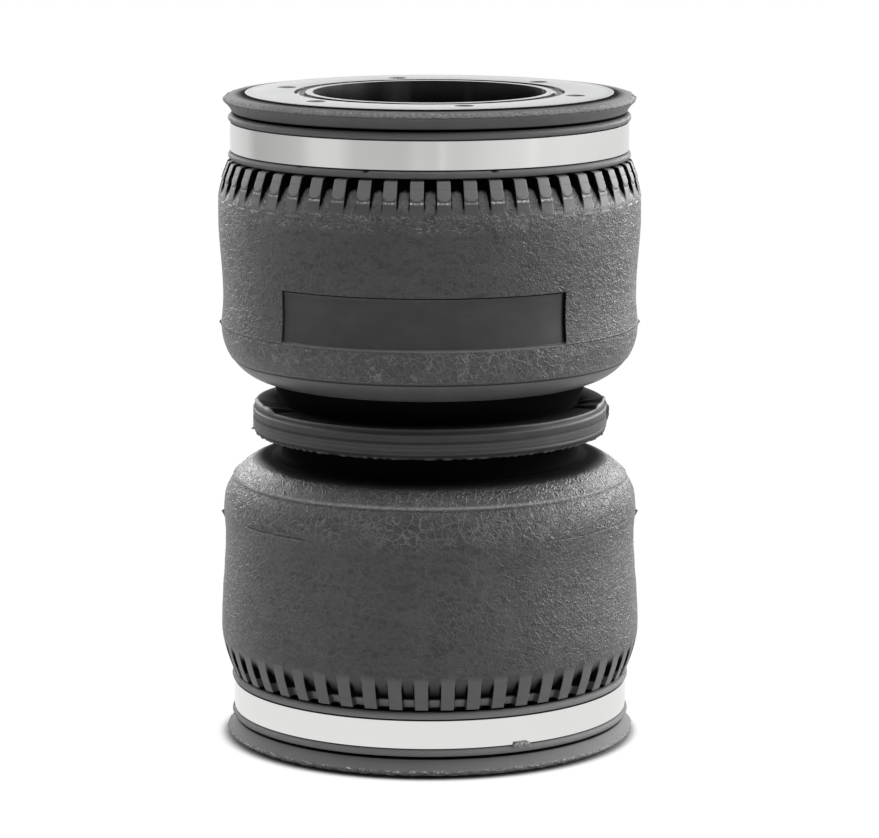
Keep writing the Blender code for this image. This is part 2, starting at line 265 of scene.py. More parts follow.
class StudioSizes(PropertyGroup):
    """Camera, floor and lamps."""

    camera_distance: length("Camera distance", 1.2678, "Distance of the camera in front of the axis")
    camera_height: length("Camera height", 0.3197, "Height of the camera above the floor")
    camera_dip: angle("Camera dip", 9.897, "How far the camera looks down")
    camera_yaw: angle("Camera yaw", -0.137, "How far the camera looks to the right of the axis")
    lens: FloatProperty(name="Lens", description="Focal length in millimetres", default=170.05)
    floor_radius: length("Floor radius", 0.8, "Radius of the pale floor")


GROUPS = {
    "bellows_wall": WallSizes,
    "bellows_ribs": RibSizes,
    "bellows_label": LabelSizes,
    "bellows_clamp": ClampSizes,
    "bellows_rubber": RubberLook,
    "bellows_metal": MetalLook,
    "bellows_studio": StudioSizes,
}


def ease(value, low, high):
    """0 below low, 1 above high, and a soft step between them."""
    place = np.clip((value - low) / (high - low), 0, 1)
    return place * place * (3 - 2 * place)


def ridge(value, middle, half):
    """A soft bump of height 1 that is 0 beyond half on either side of its middle."""
    place = np.clip(1 - ((value - middle) / half) ** 2, 0, 1)
    return place * place


def largest(*shares):
    """The largest of several shares at each point."""
    result = shares[0]
    for other in shares[1:]:
        result = np.maximum(result, other)
    return result


def wrapped(value, period):
    """The value brought within half a period of 0."""
    return (value + period / 2) % period - period / 2


def unevenness(angles, heights, waves, seed, wavelength):
    """A smooth pattern near -1..1 that closes round the axis, for mould and flash marks."""
    rng = np.random.default_rng(seed)
    total = 0
    for _ in range(waves):
        turns = rng.integers(1, max(2, int(tau * crown_limit / wavelength)))
        climb = rng.uniform(-1, 1) * tau / wavelength
        total = total + np.sin(turns * angles + climb * heights + rng.uniform(0, tau))
    return total / waves**0.5


def side_share(angles):
    """1 at the bellows' left and right, and 0 at its front and back. It shapes how grain and flash show
    there, and paints more light on the collar's face at the sides.
    """
    return ease(np.abs(np.cos(angles)), 0.72, 0.95)


def thinned(places, gap):
    """Sorted places without those that lie closer than gap to the one before. The last stays."""
    kept = [places[0]]
    for place in places[1:]:
        if place - kept[-1] > gap:
            kept.append(place)
    kept[-1] = places[-1]
    return np.array(kept)


def spaced(low, high, step, edges=(), reach=0.0004):
    """Places from low to high, about a step apart, with closer ones beside each edge."""
    places = list(np.linspace(low, high, max(2, round((high - low) / step) + 1)))
    for edge in edges:
        places += [edge + reach * offset for offset in (-1, -0.45, 0, 0.45, 1)]
    return thinned(sorted(place for place in places if low <= place <= high), reach * 0.3)


def round_angles(count):
    return np.arange(count) * tau / count


def section(points):
    """The two halves of a list of pairs, each as an upright array."""
    pairs = np.array(points)
    return pairs[:, :1], pairs[:, 1:]


def grid_mesh(name, radii, heights, angles):
    """A closed ring of quads: rows run up the outside and down the inside, columns go round Z."""
    radii, heights = np.broadcast_arrays(radii, heights)
    radii = np.broadcast_to(radii, (len(radii), len(angles)))
    heights = np.broadcast_to(heights, radii.shape)
    places = np.stack([radii * np.cos(angles), radii * np.sin(angles), heights], axis=-1).reshape(-1, 3)
    here = np.arange(radii.size).reshape(radii.shape)
    beside = np.roll(here, -1, axis=1)
    quads = np.stack([here, beside, np.roll(beside, -1, axis=0), np.roll(here, -1, axis=0)], axis=-1)
    mesh = bpy.data.meshes.new(name)
    mesh.from_pydata(places.tolist(), [], quads.reshape(-1, 4).tolist())
    mesh.shade_smooth()
    return mesh


def keep_place(mesh):
    """Stores where each point lies at rest, so that a finish doesn't slide when the piece bends."""
    places = np.zeros(len(mesh.vertices) * 3, np.float32)
    mesh.vertices.foreach_get("co", places)
    stored = mesh.attributes.new(REST, "FLOAT_VECTOR", "POINT")
    stored.data.foreach_set("vector", places)


def store_shares(mesh, shape, shares):
    """Stores a share at each point of a grid, such as how strong the grain or the wear is."""
    for name, values in shares.items():
        stored = mesh.attributes.new(name, "FLOAT", "POINT")
        stored.data.foreach_set("value", np.broadcast_to(values, shape).astype(np.float32).ravel())


def add_object(name, data):
    """Links mesh, lamp or camera data into the scene."""
    item = bpy.data.objects.new(name, data)
    bpy.context.scene.collection.objects.link(item)
    return item


def add_piece(name, mesh, material):
    """Links a finished mesh as a piece of the bellows."""
    mesh.name = name
    keep_place(mesh)
    mesh.materials.clear()
    mesh.materials.append(material)
    piece = add_object(name, mesh)
    return piece


def add_end_piece(side, name, mesh, material, node):
    """Adds a piece of one clamped end, made as the upper one lies, in place of its node."""
    if side == "lower":
        flipped(mesh)
    piece = add_piece(f"{side}_{name}", mesh, material)
    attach(piece, side + "_end")
    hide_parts(f"{side}_{node}")
    return piece


def rounded(corners, radii, steps):
    """A closed outline of (radius, height) corners, each rounded by its own radius."""
    outline = []
    for index, (corner, radius) in enumerate(zip(corners, radii)):
        here = Vector(corner)
        before = Vector(corners[index - 1]) - here
        after = Vector(corners[(index + 1) % len(corners)]) - here
        cut = min(radius, before.length * 0.45, after.length * 0.45)
        start = here + before.normalized() * cut
        end = here + after.normalized() * cut
        for step in range(steps + 1):
            t = step / steps
            outline.append((1 - t) ** 2 * start + 2 * t * (1 - t) * here + t * t * end)
    return np.array([tuple(point) for point in outline])


def flipped(mesh):
    """Turns a mesh of the upper half over about the waist's X axis, to make the lower one."""
    down = Matrix.Translation((0, 0, -waist))
    up = Matrix.Translation((0, 0, waist))
    mesh.transform(up @ Matrix.Rotation(pi, 4, "X") @ down)
    return mesh


class Socket:
    """A shader output that Python arithmetic turns into Math nodes."""

    def __init__(self, finish, output):
        self.finish = finish
        self.output = output

    def math(self, operation, *values):
        return self.finish.node("ShaderNodeMath", {"operation": operation}, dict(enumerate(values)))

    def alone(self, operation):
        return self.math(operation, self)

    def __add__(self, other):
        return self.math("ADD", self, other)

    def __radd__(self, other):
        return self.math("ADD", other, self)

    def __sub__(self, other):
        return self.math("SUBTRACT", self, other)

    def __rsub__(self, other):
        return self.math("SUBTRACT", other, self)

    def __mul__(self, other):
        return self.math("MULTIPLY", self, other)

    def __rmul__(self, other):
        return self.math("MULTIPLY", other, self)

    def __truediv__(self, other):
        return self.math("DIVIDE", self, other)

    def __rtruediv__(self, other):
        return self.math("DIVIDE", other, self)


class Finish:
    """A node tree that is filled by expressions."""

    MIX_FACTOR, MIX_LOW, MIX_HIGH, MIX_RESULT = 0, 6, 7, 2

    def __init__(self, owner):
        owner.use_nodes = True
        self.owner = owner
        self.tree = owner.node_tree

    def node(self, kind, settings=None, inputs=None, output=0):
        """Adds a node: its settings first, then the values or links of its sockets."""
        made = self.tree.nodes.new(kind)
        for name, value in (settings or {}).items():
            if name == "stops":
                self.set_stops(made.color_ramp, value)
            else:
                setattr(made, name, value)
        self.fill(made, inputs or {})
        return Socket(self, made.outputs[output])

    def outputs(self, kind, inputs, *names):
        """Adds a node and gives several of its outputs."""
        made = self.node(kind, {}, inputs).output.node
        return [Socket(self, made.outputs[name]) for name in names]

    def fill(self, node, inputs):
        """Links or sets a node's sockets."""
        for name, value in inputs.items():
            if isinstance(value, Socket):
                self.tree.links.new(value.output, node.inputs[name])
            elif node.inputs[name].type == "RGBA":
                node.inputs[name].default_value = (*value, 1.0)
            else:
                node.inputs[name].default_value = value

    def set_stops(self, ramp, stops):
        """Gives a colour ramp its grey stops, as (place, level) pairs."""
        while len(ramp.elements) < len(stops):
            ramp.elements.new(1.0)
        for element, (place, level) in zip(ramp.elements, stops):
            element.position = place
            element.color = (level, level, level, 1.0)

    def step(self, value, low, high):
        """A soft step from 0 at low to 1 at high."""
        settings = {"interpolation_type": "SMOOTHSTEP"}
        return self.node("ShaderNodeMapRange", settings, {"Value": value, "From Min": low, "From Max": high})

    def mix(self, factor, low, high):
        """A colour between two colours."""
        inputs = {self.MIX_FACTOR: factor, self.MIX_LOW: low, self.MIX_HIGH: high}
        return self.node("ShaderNodeMix", {"data_type": "RGBA"}, inputs, self.MIX_RESULT)

    def vector(self, operation, *values, output=0):
        """A Vector Math node."""
        return self.node("ShaderNodeVectorMath", {"operation": operation}, dict(enumerate(values)), output)

    def stretched(self, place, *scales):
        return self.vector("MULTIPLY", place, scales)

    def noise(self, place, scale, detail=2.0, roughness=0.5, output="Fac"):
        inputs = {"Vector": place, "Scale": scale, "Detail": detail, "Roughness": roughness}
        return self.node("ShaderNodeTexNoise", {}, inputs, output)

    def cell_edge(self, place, scale, randomness):
        """Distance to the nearest edge between cells."""
        inputs = {"Vector": place, "Scale": scale, "Randomness": randomness}
        return self.node("ShaderNodeTexVoronoi", {"feature": "DISTANCE_TO_EDGE"}, inputs, "Distance")

    def creases(self, noise, low, high):
        """Thin lines where a noise passes its middle."""
        return 1 - self.step((noise - 0.5).alone("ABSOLUTE"), low, high)

    def stored(self, name, output="Fac"):
        """A value that the mesh holds."""
        return self.node("ShaderNodeAttribute", {"attribute_name": name}, {}, output)

    def emission(self, tone, strength):
        return self.node("ShaderNodeEmission", {}, {"Color": tone, "Strength": strength})

    def mixed(self, factor, first, second):
        """A shader between two shaders."""
        return self.node("ShaderNodeMixShader", {}, {0: factor, 1: first, 2: second})

    def added(self, first, second):
        return self.node("ShaderNodeAddShader", {}, {0: first, 1: second})

    def link(self, node_name, inputs):
        """Links or sets the sockets of a node that the tree starts with."""
        self.fill(self.tree.nodes[node_name], inputs)

    def surface(self, tone, roughness, height, constants=None):
        """Fills the shader that a material starts with. The height is in metres."""
        bump = self.node("ShaderNodeBump", {}, {"Height": height, "Strength": 1.0, "Distance": 1.0})
        inputs = {"Base Color": tone, "Roughness": roughness, "Normal": bump}
        self.link("Principled BSDF", {**inputs, **(constants or {})})
        return self.owner


def new_finish(name):
    """A new finish, and the place at rest of each point that it covers."""
    finish = Finish(bpy.data.materials.new(name))
    return finish, finish.stored(REST, "Vector")


def toned(tone, level):
    return tuple(value * level for value in tone)


def veins(finish, place, cell):
    """A net of fine veins between cells, and the soft cobbles inside them."""
    stray = finish.noise(place, 330, output="Color")
    pushed = finish.vector("MULTIPLY_ADD", stray, (0.0024, 0.0024, 0.0024), place)
    edge = finish.cell_edge(pushed, 1 / cell, 0.95)
    fine_edge = finish.cell_edge(pushed, 1.9 / cell, 1.0)
    patches = finish.step(finish.noise(place, 55), 0.4, 0.6)
    fine_patches = finish.step(finish.noise(place, 120), 0.46, 0.6)
    vein = (1 - finish.step(edge, 0.0, 0.1)) * (patches * 0.45 + 0.55)
    fine_vein = (1 - finish.step(fine_edge, 0.0, 0.15)) * fine_patches * 0.7
    return vein.math("MAXIMUM", vein, fine_vein), finish.step(fine_edge, 0.0, 0.3)


def moulded_rubber(name, streak=0.0, shade=1.0, matt=0.0):
    """Black rubber, with a net of veins where a mesh stores grain, lighter where it stores wear and painted
    light, and near-black where it stores painted shade.
    """
    look = bpy.context.scene.bellows_rubber
    finish, place = new_finish(name)
    grain = finish.stored(GRAIN)
    wear = finish.stored(WEAR_AND_PAINTED_LIGHT)
    web, cobbles = veins(finish, place, look.cell)
    net = web * grain * grain * grain
    soft_grain = finish.step(grain, 0.0, 0.5)
    leather = finish.noise(finish.stretched(place, 1.0, 1.0, 1.9), 360, 3.0, 0.6)
    wrinkle = finish.creases(leather, 0.0, 0.07) * soft_grain
    low_place = finish.stretched(place, 1.0, 1.0, 2.0)
    curls = finish.noise(low_place, 340, 2.0, 0.6)
    curl = finish.creases(curls, 0.006, 0.03) * finish.stored(CRUMPLE)

    dimples = (leather * 1.2 + cobbles * 0.4) * soft_grain + wrinkle * 0.4
    pores = finish.noise(place, 2600, 3.0, 0.6)
    broad = finish.noise(place, 45, 3.0, 0.55)
    streaks = finish.noise(finish.stretched(place, 60.0, 60.0, 2600.0), 1.0, 3.0, 0.6)
    height = net * look.vein_height + dimples * look.dimple_height
    height = height + pores * look.pore_height + broad * look.broad_height
    height = height + finish.noise(place, 170) * soft_grain * look.lump_height
    height = height + web * soft_grain * look.vein_height * 0.4
    height = height + curl * look.curl_height + streaks * streak

    dust = finish.step(finish.noise(low_place, 95, 5.0, 0.65), 0.35, 0.7)
    painted_dimple_light = finish.step(leather, 0.34, 0.6) * soft_grain + wrinkle * 0.5
    flecks = finish.step(finish.noise(place, 1500), 0.45, 0.62)
    specks = finish.step(wear, 0.2, 0.6) * (1 - flecks)
    # The veins and the tops of the dimples are painted highlights; dust is lighter, and wear also carries
    # painted light
    lightness = net * look.vein_painted_light + web * soft_grain * look.web_painted_light
    lightness = lightness + dust * look.dust_light + painted_dimple_light * look.dimple_painted_light
    lightness = lightness + wear * (1 - specks * 0.75) + curl * look.curl_light
    tone = finish.mix(lightness * shade, toned(look.tone, shade), tuple(look.worn_and_painted_light))
    roughness = look.roughness + matt + pores * 0.12 - 0.06 + finish.step(wear, 0.0, 0.3) * 0.2
    finish.surface(tone, roughness, height)

    # Painted shade: where the mesh stores it, the rubber turns into near-black dull rubber
    dark = {"Base Color": NEAR_BLACK, "Roughness": 0.9, "Specular IOR Level": 0.03}
    dull = finish.node("ShaderNodeBsdfPrincipled", {}, dark)
    unshaded_rubber = Socket(finish, finish.tree.nodes["Principled BSDF"].outputs[0])
    finish.link("Material Output", {"Surface": finish.mixed(finish.stored(PAINTED_SHADE), unshaded_rubber, dull)})
    return finish.owner


def axis_distance(finish, place):
    """Distance from the bellows' axis."""
    return finish.vector("LENGTH", finish.stretched(place, 1.0, 1.0, 0.0), output="Value")


def machined_ring():
    """Turned light metal with fine tool rings, darker towards its outer edge as painted shade."""
    look = bpy.context.scene.bellows_metal
    finish, place = new_finish("machined_ring")
    radius = axis_distance(finish, place)
    rings = finish.node("ShaderNodeTexNoise", {"noise_dimensions": "1D"}, {"W": radius * 9000, "Scale": 1.0})
    cloud = finish.noise(place, 90, 3.0)
    # Painted shade: the tone darkens towards the outer edge
    edge = finish.step(radius, ring_radius - 0.0035, ring_radius - 0.0004)
    tone = finish.mix(cloud * 0.3 + edge * 0.5, tuple(look.ring_tone), toned(look.ring_tone, 0.7))
    return finish.surface(tone, look.ring_roughness + rings * 0.14 - 0.07, rings * 0.0000025, METAL)


def painted_shade_black():
    """Near-black stand-in for the shade in the bore, the seal's groove and the ring's outer edge. Its faint
    streaks along the bore are painted reflections.
    """
    finish, place = new_finish("painted_shade_black")
    streaks = finish.noise(finish.stretched(place, 70.0, 70.0, 4.0), 1.0)
    # Painted reflection: faint lighter streaks along the bore
    tone = finish.mix(finish.step(streaks, 0.52, 0.72), NEAR_BLACK, (0.05, 0.05, 0.05))
    return finish.surface(tone, 0.14 + streaks * 0.2, streaks * 0.00003, {"Specular IOR Level": 0.25})


def tapped_metal():
    """Dull grey metal of the tapped holes."""
    finish, place = new_finish("tapped_metal")
    cloud = finish.noise(place, 900)
    tone = finish.mix(cloud, (0.16, 0.16, 0.165), (0.34, 0.34, 0.345))
    return finish.surface(tone, 0.7 + cloud * 0.1, cloud * 0.00002)


def polished_band():
    """Polished steel with faint drawing lines round the axis. Its rolled edges are darkened as painted shade,
    and rougher.
    """
    look = bpy.context.scene.bellows_metal
    finish, place = new_finish("polished_band")
    lines = finish.noise(finish.stretched(place, 30.0, 30.0, 9000.0), 1.0)
    cloud = finish.noise(place, 60)
    painted_edge_shade = finish.stored(WEAR_AND_PAINTED_LIGHT)
    face = finish.mix(cloud * 0.3, tuple(look.band_tone), toned(look.band_tone, 0.92))
    tone = finish.mix(painted_edge_shade, face, (0.03, 0.03, 0.03))
    roughness = look.band_roughness + lines * 0.08 - 0.04 + painted_edge_shade * 0.4
    return finish.surface(tone, roughness, lines * 0.0000012 + cloud * 0.00002, METAL)


def seal_rubber():
    """Glossy black seal rubber."""
    finish, place = new_finish("seal_rubber_gloss")
    pores = finish.noise(place, 1500)
    tone = finish.mix(pores, (0.012, 0.012, 0.012), (0.02, 0.02, 0.02))
    return finish.surface(tone, 0.3 + pores * 0.1, pores * 0.00001)


def cord_plies():
    """Rubberised cord: two crossed plies that show as fine diagonal ribs."""
    finish, place = new_finish("cord_plies")
    x, y, z = finish.outputs("ShaderNodeSeparateXYZ", {"Vector": place}, "X", "Y", "Z")
    turn = y.math("ARCTAN2", y, x)
    left = (turn * 55 + z * 1400).alone("SINE")
    right = (turn * 55 - z * 1400).alone("SINE")
    threads = (left + right) * 0.25 + 0.5
    tone = finish.mix(threads, (0.05, 0.044, 0.036), (0.15, 0.13, 0.1))
    return finish.surface(tone, 0.9 - threads * 0.15, threads * 0.0001)


def plain_steel():
    """Drawn steel of the hidden hoop. Its node has no stored places, so it reads its own position."""
    finish = Finish(bpy.data.materials.new("plain_steel"))
    place = finish.node("ShaderNodeTexCoord", {}, {}, "Object")
    lines = finish.noise(finish.stretched(place, 40.0, 40.0, 4000.0), 1.0)
    tone = finish.mix(lines, (0.36, 0.37, 0.38), (0.44, 0.45, 0.46))
    return finish.surface(tone, 0.4 + lines * 0.15, lines * 0.000004, METAL)


def belly_start():
    """Height at which the shoulder's round ends."""
    sizes = bpy.context.scene.bellows_wall
    return sizes.neck_top + sizes.shoulder_rise


def wall_radius(side, s):
    """Outer radius of a convolution at a distance from the waist, without its moulded details."""
    sizes = bpy.context.scene.bellows_wall
    s = np.asarray(s, float)
    shoulder_radius = crown_limit - sizes.shoulder_setback
    belly_radius = crown_limit - sizes.belly_setback
    belly_low = belly_start() + sizes.belly_run
    crown = wall_end - sizes.crown_run
    corner_radius = sizes.neck_radius + sizes.neck_fillet
    lean = np.clip((s - girdle_half) / (sizes.neck_top - girdle_half), 0, 1)
    radius = sizes.neck_radius + (sizes.neck_fillet if side == "upper" else 0) * lean
    up = np.clip((belly_start() - s) / sizes.shoulder_rise, 0, 1)
    shoulder = corner_radius + (shoulder_radius - corner_radius) * np.sqrt(1 - up**2)
    radius = np.where(s >= sizes.neck_top, shoulder, radius)
    dip = shoulder_radius + (belly_radius - shoulder_radius) * ease(s, belly_start(), belly_low)
    belly = dip + sizes.belly_setback * ease(s, belly_low, crown)
    radius = np.where(s > belly_start(), belly, radius)
    draw = np.clip((s - crown) / sizes.crown_run, 0, 1) ** sizes.crown_power
    return np.where(s > crown, crown_limit - sizes.crown_drop * draw, radius)


def layer_line(side, s, inset):
    """Places (radius, s) at a distance inside the wall's line, with its ends kept at their heights."""
    ribs = bpy.context.scene.bellows_ribs
    sizes = bpy.context.scene.bellows_wall
    crown = wall_end - sizes.crown_run
    under_ribs = (ribs.depth - 0.001) * np.clip((s - crown) / sizes.crown_run, 0, 1) ** sizes.crown_power
    radius = wall_radius(side, s) - under_ribs
    along_r = np.gradient(radius)
    along_s = np.gradient(s)
    size = np.hypot(along_r, along_s)
    moved_r = radius - inset * along_s / size
    moved_s = s + inset * along_r / size
    moved_s[0] = s[0]
    moved_s[-1] = s[-1]
    return moved_r, moved_s


def shoulder_rows(low):
    """Places along s that follow the shoulder's round, closest where it lies flat."""
    rise = bpy.context.scene.bellows_wall.shoulder_rise
    turns = np.linspace(pi / 2, 0, 30)
    return [place for place in belly_start() - rise * np.sin(turns) if place >= low]


def wall_rows(edges):
    """Places along s from the neck to the clamp, closest at the shoulder and at moulded edges."""
    low = bpy.context.scene.bellows_wall.neck_top
    round_end = low + 0.004
    rib_start = wall_end - bpy.context.scene.bellows_ribs.foot - 0.001
    shoulder = [row for row in shoulder_rows(low) if row < belly_start() - 0.0002]
    near = [row for row in spaced(round_end, belly_start(), 0.0012, edges) if row > round_end]
    belly = spaced(belly_start(), rib_start, 0.002, edges)
    ribbed = spaced(rib_start, wall_end, 0.00085, edges)
    return thinned(sorted([*shoulder, *near, *belly, *ribbed]), 0.0001)


def rib_angles(turn):
    """Columns round the wall, closest at the sides of each rib."""
    ribs = bpy.context.scene.bellows_ribs
    pitch = tau / ribs.count
    half = ribs.width / 2 / crown_limit
    draft = ribs.draft / crown_limit
    places = [half * part for part in RIB_TOP] + [half + draft * part for part in RIB_SIDE]
    offsets = [0.0, pitch / 2]
    for place in places:
        offsets += [place, -place]
    pattern = np.sort(np.array(offsets) % pitch)
    angles = (np.arange(ribs.count)[:, None] * pitch + pattern[None, :]).ravel() + turn
    return np.sort(angles % tau)


def with_edges(angles, edges, reach):
    """Adds closer columns beside each edge and drops those that crowd them."""
    extra = np.array([edge + reach * offset for edge in edges for offset in (-1, -0.4, 0, 0.4, 1)]) % tau
    clear = [a for a in angles if np.min(np.abs(wrapped(extra - a, tau))) > reach * 0.25]
    return np.sort(np.concatenate([clear, extra]))


def rib_places(angles, turn):
    """For each column: its distance from the middle of the nearest rib, and 0..1 across the pocket."""
    ribs = bpy.context.scene.bellows_ribs
    pitch = tau / ribs.count
    across = np.abs(wrapped(angles - turn, pitch)) * crown_limit
    pocket = ease(across, ribs.width / 2, ribs.width / 2 + ribs.draft)
    middle = pitch * crown_limit / 2
    from_middle = (middle - across) / (middle - ribs.width / 2)
    return across, pocket, np.clip(from_middle, 0, 1)


def rib_strengths(angles, turn, seed, low):
    """A share between low and 1 for each column, the same all over one rib."""
    ribs = bpy.context.scene.bellows_ribs
    shares = np.random.default_rng(seed).uniform(low, 1, ribs.count)
    return shares[np.round((angles - turn) / (tau / ribs.count)).astype(int) % ribs.count]


def rib_flanks(across):
    """1 on the steep sides of the ribs, which are painted black as shade."""
    ribs = bpy.context.scene.bellows_ribs
    edge = ribs.width / 2
    below_top = ease(across, edge + ribs.draft * 0.02, edge + ribs.draft * 0.12)
    return below_top * (1 - ease(across, edge + ribs.draft * 1.4, edge + ribs.draft * 2.6))


def label_recess(s, angles):
    """1 in the label's recess, and 1 at the angles that it spans."""
    label = bpy.context.scene.bellows_label
    top = label.sill + label.height
    inside = ease(angles, label.start, label.start + 0.0004 / crown_limit)
    inside = inside * (1 - ease(angles, label.end - 0.001 / crown_limit, label.end))
    in_height = ease(s, label.sill, label.sill + 0.0003) * (1 - ease(s, top - 0.0006, top))
    return inside * in_height, inside


def crumpled_flash(s, angles, foot):
    """The ragged line at the pockets' feet, and the whole belt of crumpled flash there."""
    wave = unevenness(angles, 0 * s, 14, 9, 0.004)
    slow_wave = unevenness(angles, 0 * s, 14, 10, 0.006)
    crinkle = ridge(s, foot - 0.0002 + 0.0003 * wave, 0.0008) * np.clip(0.7 + 0.4 * slow_wave, 0, 1)
    crumple = crinkle + ridge(s, foot - 0.0032 + 0.0004 * wave, 0.0009) * np.clip(0.6 - 0.5 * slow_wave, 0, 1)
    belt = ease(s, foot - 0.0038, foot - 0.003) * (1 - ease(s, foot - 0.0004, foot + 0.0006))
    return crinkle, (crumple + 0.25 * belt) * (1 - 0.7 * side_share(angles))


def upper_moulding(s, angles):
    """Radial changes of the upper convolution, and where its grain, its wear and painted light, and its
    painted shade show.
    """
    ribs = bpy.context.scene.bellows_ribs
    label = bpy.context.scene.bellows_label
    sides = side_share(angles)
    across, pocket, from_middle = rib_places(angles, ribs.upper_turn)
    foot = wall_end - ribs.foot + 0.0006
    tongue_top = wall_end - ribs.tongue - ribs.arch * from_middle**2
    tongue = ribs.tongue_depth * np.clip((s - foot) / (tongue_top - foot), 0, 1) ** 1.2
    plunge = ease(s, tongue_top, tongue_top + 0.001)
    dent = pocket * (tongue + (ribs.depth - tongue) * plunge)
    head_foot = wall_end - ribs.head + ribs.arch * (across / (ribs.width / 2)) ** 4
    head = ease(s, head_foot - 0.0001, head_foot + 0.0002) * (1 - pocket)
    crease = ridge(s, wall_end - ribs.head_crease, 0.00025) * 0.0001 * (1 - pocket)
    strength = rib_strengths(angles, ribs.upper_turn, 8, 0.25) * (1 - 0.75 * sides)
    over_rib = 1 - ease(across, ribs.width / 2 + 0.0002, ribs.width / 2 + 0.0006)
    flash = ridge(s, wall_end - ribs.head - 0.0004, 0.00028) * strength * over_rib
    outline = ridge(s, head_foot - 0.0001, 0.00025) * (1 - pocket)
    bars = ease(s, foot - 0.0022, foot - 0.0004) * (1 - pocket)
    crinkle, crumple = crumpled_flash(s, angles, foot)
    seam = label.sill + 0.0002
    parting = ridge(s, seam, 0.0002)
    step = ease(s, UPPER_STEP, UPPER_STEP + 0.0003) * 0.00022 - ridge(s, UPPER_STEP, 0.0003) * 0.0002
    recess, inside = label_recess(s, angles)

    change = head * ribs.head_rise + flash * 0.0003 + crinkle * 0.00012 + parting * (1 - recess) * 0.00018
    change = change + step - dent - crease - recess * label.depth

    belly = 1 - 0.5 * ease(s, label.sill - 0.001, label.sill + 0.0005) + 0.3 * ease(s, foot - 0.006, foot)
    belly = belly + (0.9 - belly) * sides
    above_step = ease(s, UPPER_STEP + 0.0003, UPPER_STEP + 0.0008)
    grain = above_step * (1 - np.maximum(bars, head)) * (1 - plunge * pocket) * belly * (1 - recess)

    # Wear and painted light: the flash is lighter; the rib heads, the light lines under the step, at the
    # parting line and at the recess's sill are painted highlights; the smooth strip below the step gets
    # painted light
    wear = 1.8 * flash + 0.22 * head * (1 - outline) + 0.12 * parting
    wear = wear + 0.08 * ridge(s, UPPER_STEP + 0.0004, 0.0003) + 0.07 * bars * (1 - head)
    wear = wear + 0.14 * pocket * ease(tongue, 0.0001, 0.0016) * (1 - plunge)
    wear = wear + 0.05 * (1 - ease(s, UPPER_STEP - 0.0002, UPPER_STEP + 0.0002))
    wear = wear + 0.015 * (1 - ease(s, 0.026, 0.031)) + 0.25 * inside * ridge(s, label.sill - 0.0001, 0.0003)

    above_sill = ease(s, label.sill + 0.0006, label.sill + 0.001)
    # Painted shade: darkens the pockets, the recess's edges, the line under the heads, the dark lines at the
    # step and the seam, and the ribs' flanks
    hollow = largest(
        pocket * ease(plunge, 0.15, 0.7),
        ease(recess * (1 - recess) * 4, 0.0, 0.4) * above_sill,
        0.6 * outline * (1 - np.clip(flash * 3, 0, 1)),
        0.9 * ridge(s, UPPER_STEP - 0.0001, 0.0003),
        0.45 * ridge(s, seam - 0.0004, 0.00025),
        rib_flanks(across) * ease(tongue, 0.0003, 0.0009),
    )
    return change, grain, wear, hollow, crumple


def lower_moulding(s, angles):
    """Radial changes of the lower convolution, and where its grain, its wear and painted light, and its
    painted shade show.
    """
    ribs = bpy.context.scene.bellows_ribs
    across, pocket, _ = rib_places(angles, ribs.lower_turn)
    foot = wall_end - ribs.foot + 0.001
    web_start = wall_end - ribs.web
    ramp = (ribs.depth - 0.0002) * np.clip((s - foot) / (web_start - foot), 0, 1) ** 1.2
    web = ease(s, web_start, web_start + 0.0003) * (1 - ease(s, wall_end - 0.0009, wall_end - 0.0006))
    dent = pocket * (ramp * (1 - web) + ribs.web_depth * web)
    crease = ridge(s, web_start + 0.0004, 0.00025) * 0.00015 * (1 - pocket)
    bars = ease(s, foot - 0.001, foot + 0.0008)
    rib_line = ridge(s, LOWER_RIDGE, 0.0006)
    scarred = ease(angles, radians(-152), radians(-148)) * (1 - ease(angles, radians(-128), radians(-124)))
    faint = ease(angles, radians(-60), radians(-50)) * (1 - ease(angles, radians(-24), radians(-14)))
    patch = scarred + 0.7 * faint
    scar = ridge(s, LOWER_SCAR, 0.0003) * patch
    change = rib_line * 0.00045 - dent - crease - scar * 0.00025

    under_shoulder = ease(s, 0.026, 0.034)
    belly = 1 - 0.4 * under_shoulder
    belly = belly + (0.85 - belly) * side_share(angles) * under_shoulder
    grain = ease(s, 0.0123, 0.0150) * (1 - bars) * belly

    # Lighter along the ridge, on the bars and beside the scar; on the webs it is painted light
    wear = 0.45 * rib_line + 0.1 * bars * (1 - pocket) + 0.24 * web * pocket
    wear = wear + 0.08 * ridge(s, LOWER_SCAR + 0.0005, 0.0003) * patch
    # Painted shade: darkens the deep pockets, the line under the ridge, the scar and the ribs' flanks
    hollow = largest(
        ease(dent, 0.0014, 0.0032) * (1 - web),
        0.4 * ridge(s, LOWER_RIDGE + 0.0009, 0.00025),
        0.5 * scar,
        rib_flanks(across) * ease(ramp, 0.0004, 0.0012) * (1 - 0.5 * web),
    )
    return change, grain, wear, hollow, 0 * wear


def mould_seams(s, angles, seed, nib_place):
    """Flash where the mould's halves met, at both sides, with a nib on the parting line."""
    change = 0
    for place in (0.0, pi):
        away = np.abs(wrapped(angles - place, tau)) * crown_limit
        ragged = 0.6 + 0.4 * unevenness(0 * angles, s, 6, seed, 0.006)
        fin = ridge(away, 0, 0.0005) * 0.00016 * np.clip(ragged, 0, 1.4)
        nib = ridge(away, 0, 0.0009) * ridge(s, nib_place, 0.0008) * 0.0009
        change = change + fin * (1 - ease(s, 0.055, 0.07)) + nib
    return change


